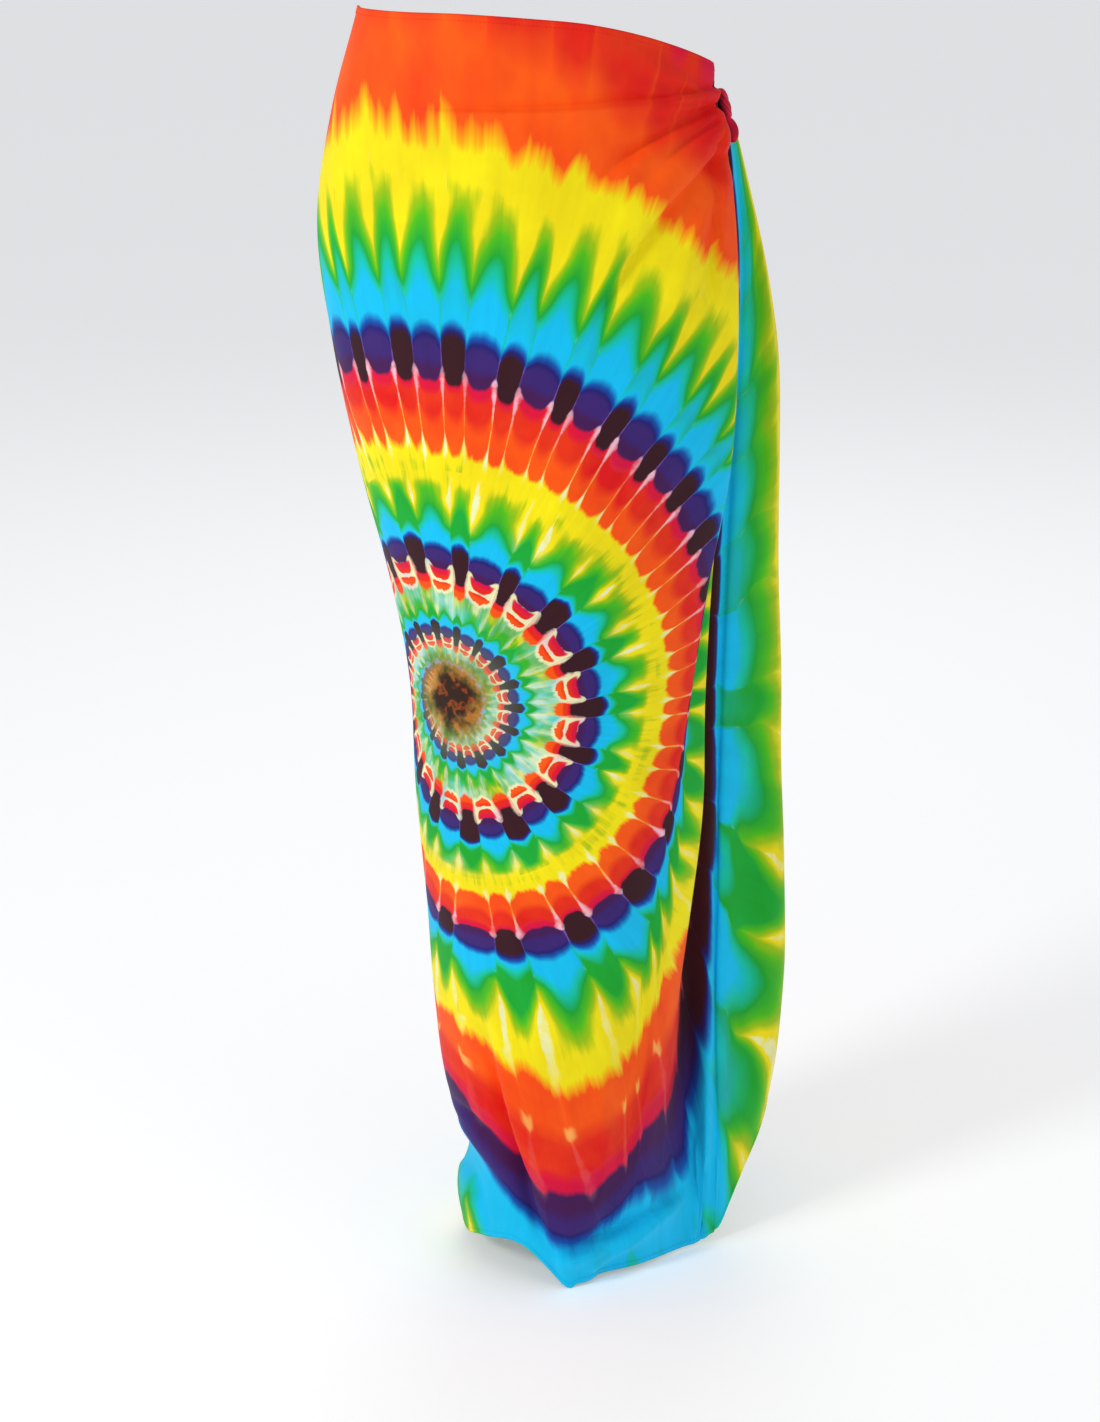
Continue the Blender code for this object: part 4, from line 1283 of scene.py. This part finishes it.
@dataclass
class ClothSheet:
    """One stretch of the cloth as a fine, thin shell."""

    name: str
    stretch: Stretch
    nodes: tuple[str, ...]
    bands: tuple[tuple[float, int], ...]
    form: WrapForm
    cloth: float = 0.0005
    hem_width: float = 0.0065
    hem_edge: float = 0.002
    hem_swell: float = 0.0009
    inset: float = 0.0003
    seam_gap: float = 0.0001
    probe: float = 0.001
    front_ends: Fade = (9.4, 9.9)
    seam_calm: Fade = (0.0, 0.35)
    ripple_height: float = 0.00035
    flat: tuple[Array, ...] = field(init=False, default=())
    left_lobes: tuple[Array, ...] = field(init=False, default=())
    order: list[tuple[int, int]] = field(init=False, default_factory=list)

    def columns(self) -> Array:
        """Places of the columns, counted in stations."""
        stations = self.form.stations(self.stretch)
        places = [n + step / s.cells for n, s in enumerate(stations[:-1]) for step in range(s.cells)]
        return np.array(places + [len(stations) - 1.0])

    def rows(self) -> Array:
        """Places of the rows, from 0 at the top edge to 1 at the hem."""
        places = [0.0]
        for share, rows in self.bands:
            start = places[-1]
            places.extend(start + share * (row + 1) / rows for row in range(rows))
        places[-1] = 1.0
        return np.array(places)

    def lift(self, t: Array, points: Array) -> Array:
        """How far the creases lift the cloth out of its plain form."""
        x, z = points[..., 0], points[..., 2]
        if self.stretch is Stretch.BACK:
            return sum(fold.lift(t, z) for fold in BACK_FOLDS)
        lift = sum(crease.lift(x, z) for crease in FRONT_CREASES) + KnotGathers().lift(x, z)
        on_front = 1.0 - smooth_step(*self.front_ends, t)
        return lift * on_front + sum(fold.lift(t, z) for fold in LONG_FOLDS)

    def ripple(self, points: Array) -> Array:
        """The faint unevenness of a soft cloth."""
        x, y, z = points[..., 0], points[..., 1], points[..., 2]
        return self.ripple_height * (
            np.sin(41 * x + 17 * z + 2 * np.sin(9 * z)) + np.sin(29 * z - 53 * y + 1.3)
            + 0.7 * np.sin(83 * x - 37 * z + 0.4) * np.sin(7 * z))

    def surface(self, t: Array, v: Array) -> tuple[Array, Array]:
        """Creased points of the cloth and its outward directions.

        Args:
            t: places across, counted in stations.
            v: places down, from 0 to 1.

        Returns:
            The points and the unit normals.
        """
        form, step = self.form, self.probe
        across = form.place(self.stretch, t + step, v) - form.place(self.stretch, t - step, v)
        down = form.place(self.stretch, t, v + step) - form.place(self.stretch, t, v - step)
        normals = np.cross(down, across)
        if self.stretch is Stretch.BACK:
            normals = -normals
        normals /= np.linalg.norm(normals, axis=1, keepdims=True)
        points = form.place(self.stretch, t, v)
        out = self.lift(t, points) + self.ripple(points) * smooth_step(*self.seam_calm, t) - self.inset
        points = points + normals * out[:, None]
        side = -1.0 if self.stretch is Stretch.OUTER else 1.0
        points[:, 1] += side * self.seam_gap * (t < 1e-9)
        return points, normals

    def flat_at(self, t: float, v: float) -> tuple[Array, Array]:
        """The flat places nearest to a place on the sheet, for lobes and bands."""
        t_row, v_row, lobes, bands = self.flat
        spot = (int(np.argmin(np.abs(v_row - v))), int(np.argmin(np.abs(t_row - t))))
        return lobes[spot], bands[spot]

    def edge_distance(self, points: Array) -> Array:
        """How far each grid point lies from the nearest sewn edge."""
        down, across = run_lengths(points, 0), run_lengths(points, 1)
        return np.minimum(np.minimum(down, down[-1:] - down), across[:, -1:] - across)

    def build(self, material: bpy.types.Material, dye_map: DyeMap,
              left_across: Callable[[Array], Array] | None = None) -> bpy.types.Object:
        """Builds the sheet, its flat coordinates and its doubled hems.

        Args:
            material: its finish.
            dye_map: where it lies on the flat cloth.
            left_across: flat place across of the left side, for the back.

        Returns:
            The piece.
        """
        t_row, v_row = self.columns(), self.rows()
        tt, vv = np.meshgrid(t_row, v_row)
        points, normals = self.surface(tt.ravel(), vv.ravel())
        shape = (len(v_row), len(t_row), 3)
        points, normals = points.reshape(shape), normals.reshape(shape)
        if self.stretch is Stretch.OUTER:
            lobes, bands = dye_map.outer(points, t_row, self.form)
        else:
            lobes = dye_map.back(points, left_across)
            bands = lobes
        self.flat = (t_row, v_row, lobes, bands)
        self.left_lobes = (points[:, 0, 2], lobes[:, 0, 0])
        inner = self.hem_width - self.hem_edge
        doubled = 1.0 - smooth_step(inner, self.hem_width, self.edge_distance(points))
        points = points + normals * (doubled * self.hem_swell * 0.5)[..., None]
        bm = self._grid(points, lobes, bands)
        piece = new_piece(self.name, bm, material)
        self._thicken(piece, points, doubled)
        return piece

    def _grid(self, points: Array, lobes: Array, bands: Array) -> bmesh.types.BMesh:
        """A bmesh grid moved onto the points, with both sets of flat places."""
        rows, columns = points.shape[:2]
        bm = bmesh.new()
        bmesh.ops.create_grid(bm, x_segments=columns - 1, y_segments=rows - 1, size=1.0)
        cloth = bm.loops.layers.uv.new("cloth")
        band = bm.loops.layers.uv.new("bands")
        spots = {vert: (round((1.0 - vert.co.y) / 2.0 * (rows - 1)),
                        round((vert.co.x + 1.0) / 2.0 * (columns - 1))) for vert in bm.verts}
        for vert, spot in spots.items():
            vert.co = points[spot]
        for face in bm.faces:
            for loop in face.loops:
                loop[cloth].uv = lobes[spots[loop.vert]]
                loop[band].uv = bands[spots[loop.vert]]
        self.order = [spots[vert] for vert in bm.verts]
        if self.stretch is Stretch.BACK:
            bmesh.ops.reverse_faces(bm, faces=bm.faces)
        return bm

    def _thicken(self, piece: bpy.types.Object, points: Array, doubled: Array) -> None:
        """Gives the sheet its thickness, doubled where a hem is turned and sewn."""
        full = self.cloth + self.hem_swell
        group = piece.vertex_groups.new(name="hem")
        weights: dict[float, list[int]] = {}
        for index, spot in enumerate(self.order):
            share = round((self.cloth + self.hem_swell * doubled[spot]) / full, 2)
            weights.setdefault(share, []).append(index)
        for share, members in weights.items():
            group.add(members, float(share), "REPLACE")
        solid = piece.modifiers.new("thickness", "SOLIDIFY")
        for key, value in (("thickness", full), ("offset", -1.0), ("vertex_group", "hem"), ("use_rim", True)):
            setattr(solid, key, value)


@dataclass(frozen=True)
class SewnEdges:
    """Where a sheet is sewn: how far along its hem and top edge, and at which end.

    hem and top hold the last station and the number of places to sample.
    """

    hem: tuple[float, int]
    top: tuple[float, int]
    end: float
    end_rows: tuple[float, float, int] = (0.01, 0.99, 500)

    def lines(self, share: float) -> list[tuple[Array, Array]]:
        """Station and row places of each line, a share of the height inside the edges."""
        along_hem, along_top = (np.linspace(0.0, *edge) for edge in (self.hem, self.top))
        down = np.linspace(*self.end_rows)
        return [(along_hem, np.full(along_hem.size, 1.0 - share)),
                (along_top, np.full(along_top.size, share)), (np.full(down.size, self.end), down)]


@dataclass
class HemStitches:
    """Lines of machine stitches just inside the sewn edges."""

    name: str
    pitch: float = 0.0034
    length: float = 0.0024
    thickness: float = 0.00042
    from_edge: float = 0.0052

    def line(self, sheet: ClothSheet, t: Array, v: Array) -> list[tuple]:
        """Even steps along a line on a sheet: place, direction, normal and flat places."""
        points, normals = sheet.surface(t, v)
        run = run_lengths(points, 0)
        found = []
        for at in np.arange(self.pitch, run[-1] - self.pitch, self.pitch):
            here, ahead, out = (np.array([np.interp(s, run, data[:, axis]) for axis in range(3)])
                                for s, data in ((at, points), (at + self.pitch / 2, points), (at, normals)))
            found.append((Vector(here), Vector(ahead - here).normalized(), Vector(out).normalized(),
                          sheet.flat_at(float(np.interp(at, run, t)), float(np.interp(at, run, v)))))
        return found

    def build(self, sheet: ClothSheet, height: float, edges: SewnEdges,
              material: bpy.types.Material) -> bpy.types.Object:
        """Builds all the stitches of one sheet.

        Args:
            sheet: the cloth that they are sewn through.
            height: the flat cloth's height.
            edges: where the sheet is sewn.
            material: the thread's finish.

        Returns:
            The piece.
        """
        bm = bmesh.new()
        layers = [bm.loops.layers.uv.new(name) for name in ("cloth", "bands")]
        lift = sheet.hem_swell * 0.5 + self.thickness * 0.25
        for t, v in edges.lines(self.from_edge / height):
            for here, way, out, flat in self.line(sheet, t, v):
                side = out.cross(way).normalized()
                turn = Matrix((way, side, out)).transposed().to_4x4()
                size = Matrix.Diagonal((self.length / 2, self.thickness / 2, self.thickness / 2, 1.0))
                place = Matrix.Translation(here + out * lift) @ turn @ size
                made = bmesh.ops.create_icosphere(bm, subdivisions=1, radius=1.0, matrix=place)
                for loop in (loop for vert in made["verts"] for loop in vert.link_loops):
                    for layer, spot in zip(layers, flat):
                        loop[layer].uv = spot
        return new_piece(self.name, bm, material)


@dataclass
class Knot:
    """The tied lump: cloth pulled tight over itself, with folds that run round it.

    Each fold has its turn, its depth and its half width in turns.
    """

    rings: int = 72
    sides: int = 72
    blunt: float = 0.62
    lean: float = 0.0034
    turns: float = 0.55
    folds: tuple[tuple[float, float, float], ...] = (
        (0.3, 0.22, 0.34), (1.9, 0.14, 0.20), (3.1, 0.18, 0.28), (4.4, 0.12, 0.18), (5.3, 0.20, 0.26))

    def build(self, material: bpy.types.Material) -> bpy.types.Object:
        """Builds the knot on its solid's own box."""
        low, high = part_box("knot")
        middle = (Vector(low) + Vector(high)) / 2.0
        half = (Vector(high) - Vector(low)) / 2.0
        bm = bmesh.new()
        bmesh.ops.create_uvsphere(bm, u_segments=self.sides, v_segments=self.rings, radius=1.0)
        for vert in bm.verts:
            height = max(-1.0, min(1.0, vert.co.z))
            turn = math.atan2(vert.co.y, vert.co.x)
            round_off = max(1e-4, 1.0 - height * height) ** (self.blunt / 2.0)
            dent = 0.0
            for at, depth, width in self.folds:
                away = (turn + self.turns * math.pi * height - at + math.pi) % (2.0 * math.pi) - math.pi
                dent += depth * math.exp(-(away / width) ** 2)
            size = round_off * (1.0 - dent * (1.0 - 0.5 * height * height))
            lean = -self.lean * height
            vert.co = Vector((math.cos(turn) * size * half.x + lean, math.sin(turn) * size * half.y,
                              height * half.z)) + middle
        bmesh.ops.recalc_face_normals(bm, faces=bm.faces)
        return new_piece("tied_knot", bm, material)


@dataclass
class KnotEnd:
    """The short end of cloth that hangs out of the knot, folded down its middle.

    The profile's rows go down the end: x, y, z, half its width, half its thickness.
    """

    rows: int = 48
    sides: int = 40
    fold_height: float = 0.55
    fold_at: float = -0.1
    fold_width: float = 0.18
    curl: float = 0.00048
    profile: tuple[tuple[float, ...], ...] = (
        (0.0000, 0.0000, 0.0000, 0.0040, 0.0019),
        (0.0025, 0.0000, -0.0045, 0.0064, 0.0023),
        (0.0047, 0.0003, -0.0105, 0.0072, 0.0022),
        (0.0063, 0.0008, -0.0165, 0.0058, 0.0020),
        (0.0073, 0.0013, -0.0215, 0.0026, 0.0014),
    )

    def build(self, material: bpy.types.Material) -> bpy.types.Object:
        """Builds the end inside its solid's own box."""
        table = np.array(self.profile)
        at = np.linspace(0.0, len(table) - 1.0, self.rows + 1)
        path = np.stack([along([np.full(at.size, value) for value in column], at)
                         for column in table.T], axis=1)
        bm = bmesh.new()
        bmesh.ops.create_cone(bm, cap_ends=True, cap_tris=False, segments=self.sides,
                              radius1=1.0, radius2=1.0, depth=2.0)
        sides = [e for e in bm.edges if abs(e.verts[0].co.z - e.verts[1].co.z) > 1.0]
        bmesh.ops.subdivide_edges(bm, edges=sides, cuts=self.rows - 1, use_grid_fill=False)
        for vert in bm.verts:
            row = round((1.0 - vert.co.z) / 2.0 * self.rows)
            x, y, z, half_width, half_thick = path[row]
            fold = math.exp(-((vert.co.x - self.fold_at) / self.fold_width) ** 2) if vert.co.y < 0.0 else 0.0
            fold *= self.fold_height * half_thick
            curl = self.curl * math.sin(vert.co.x * 2.2 + row * 0.06)
            vert.co = Vector((x + vert.co.x * half_width, y + vert.co.y * half_thick + fold + curl, z))
        points = np.array([vert.co for vert in bm.verts])
        low, high = (np.array(corner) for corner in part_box("knot_end"))
        shift = Vector((low + high) / 2.0 - (points.min(axis=0) + points.max(axis=0)) / 2.0)
        bmesh.ops.translate(bm, verts=bm.verts, vec=shift)
        bmesh.ops.recalc_face_normals(bm, faces=bm.faces)
        return new_piece("knot_tail", bm, material)


@dataclass
class Wrap:
    """The whole sarong: its two sheets, knot, end and hem stitching."""

    form: WrapForm = WrapForm()
    dye_map: DyeMap = DyeMap()
    flat_height: float = 1.10
    outer_flat: float = 0.60
    back_flat: float = 0.45

    def build(self) -> list[bpy.types.Object]:
        """Builds and dresses every piece.

        Returns:
            The pieces, in the order they are made.
        """
        dye, weave = SpiralDye().group(), Weave().group()
        rayon = DyedRayon(name="spiral dyed rayon", weave=weave, dye=dye).material()
        crimson = PlainDyed(name="crimson rayon", weave=weave, deep=(0.36, 0.002, 0.020),
                            bright=(0.78, 0.006, 0.050)).material()
        thread = DyedRayon(name="dyed thread", weave=weave, dye=dye, sheen=0.0).material()
        outer = ClothSheet("outer_cloth", Stretch.OUTER, ("front_wrap", "cascade"),
                           ((0.038, 20), (0.050, 50), (0.152, 46), (0.60, 76), (0.16, 60)), self.form)
        back = ClothSheet("back_cloth", Stretch.BACK, ("back_wrap",),
                          ((0.24, 44), (0.60, 76), (0.16, 34)), self.form)
        outer_piece = outer.build(rayon, self.dye_map)
        heights, places = outer.left_lobes

        def left_across(z: Array) -> Array:
            """Flat place across of the left side at any height."""
            return np.interp(z, heights[::-1], places[::-1])

        back_piece = back.build(rayon, self.dye_map, left_across)
        outer_thread = HemStitches("outer_stitches").build(
            outer, self.flat_height, SewnEdges(hem=(15.9, 700), top=(9.6, 400), end=15.87), thread)
        back_thread = HemStitches("back_stitches").build(
            back, self.flat_height, SewnEdges(hem=(5.9, 500), top=(5.9, 500), end=5.87), thread)
        knot = Knot().build(crimson)
        end = KnotEnd().build(crimson)
        for piece, nodes in ((outer_piece, outer.nodes), (back_piece, back.nodes),
                             (knot, ("knot",)), (end, ("knot_end",))):
            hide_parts(*nodes)
        for piece, slot in ((outer_piece, "cloth"), (back_piece, "cloth"), (outer_thread, "cloth"),
                            (back_thread, "cloth"), (knot, "knot_cloth"), (end, "knot_cloth")):
            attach(piece, "root")
        return [outer_piece, back_piece, outer_thread, back_thread, knot, end]


@dataclass
class Studio:
    """A pale floor, soft light and the photograph's viewpoint."""

    image_height: float = 1422.0
    focal_pixels: float = 2800.0
    camera_at: tuple[float, float, float] = (0.016, -2.307, 0.169)
    tilt_down: float = 18.34
    sensor: float = 36.0
    floor_z: float = -1.1015
    floor_size: float = 60.0
    floor_glow: float = 0.24
    lights_aim: tuple[float, float, float] = (0.03, 0.0, -0.55)
    lights: tuple[tuple[str, tuple[float, float, float], float, float], ...] = (
        ("key", (-2.2, -1.7, 1.1), 0.7, 38.0),
        ("fill", (2.2, -1.8, 0.3), 1.8, 6.0),
        ("back", (0.4, 2.4, 1.4), 1.8, 14.0),
    )
    air_colour: Colour = (0.95, 0.97, 1.0)
    air_strength: float = 0.55

    def camera(self) -> bpy.types.Object:
        """Sets the camera at the photograph's place."""
        data = bpy.data.cameras.new("viewpoint")
        data.sensor_fit = "VERTICAL"
        data.sensor_height = self.sensor
        data.lens = self.focal_pixels / self.image_height * self.sensor
        data.clip_end = self.floor_size
        camera = bpy.data.objects.new("viewpoint", data)
        camera.location = self.camera_at
        camera.rotation_euler = (math.radians(90.0 - self.tilt_down), 0.0, 0.0)
        bpy.context.scene.collection.objects.link(camera)
        bpy.context.scene.camera = camera
        return camera

    def floor(self) -> bpy.types.Object:
        """Lays a plain pale floor under the hem."""
        bm = bmesh.new()
        bmesh.ops.create_grid(bm, x_segments=4, y_segments=4, size=self.floor_size / 2)
        bmesh.ops.translate(bm, verts=bm.verts, vec=(0.0, 0.0, self.floor_z))
        material = bpy.data.materials.new("pale floor")
        material.use_nodes = True
        Graph(material.node_tree).give(material.node_tree.nodes["Principled BSDF"], {
            "Base Color": (0.94, 0.94, 0.95, 1.0), "Roughness": 0.7,
            "Emission Color": (1.0, 1.0, 1.0, 1.0), "Emission Strength": self.floor_glow})
        floor = new_piece("studio_floor", bm, material)
        return floor

    def light(self, name: str, at: tuple[float, float, float], size: float, power: float) -> None:
        """Hangs one large soft light that faces the sarong's middle."""
        data = bpy.data.lights.new(name, "AREA")
        data.shape = "DISK"
        data.size = size
        data.energy = power
        lamp = bpy.data.objects.new(name, data)
        lamp.location = at
        aim = Vector(self.lights_aim) - Vector(at)
        lamp.rotation_euler = aim.to_track_quat("-Z", "Y").to_euler()
        bpy.context.scene.collection.objects.link(lamp)

    def build(self) -> None:
        """Builds the whole studio."""
        bpy.context.scene.view_settings.view_transform = "Standard"
        self.camera()
        self.floor()
        for light in self.lights:
            self.light(*light)
        world = bpy.data.worlds.new("studio air")
        world.use_nodes = True
        Graph(world.node_tree).give(world.node_tree.nodes["Background"], {
            "Color": (*self.air_colour, 1.0), "Strength": self.air_strength})
        bpy.context.scene.world = world


def main() -> None:
    """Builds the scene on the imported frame."""
    logging.basicConfig(level=logging.INFO, format="%(message)s")
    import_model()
    for piece in Wrap().build():
        LOG.info("built %s: %d faces", piece.name, len(piece.data.polygons))
    Studio().build()
    bpy.context.view_layer.update()


if __name__ == "__main__":
    main()
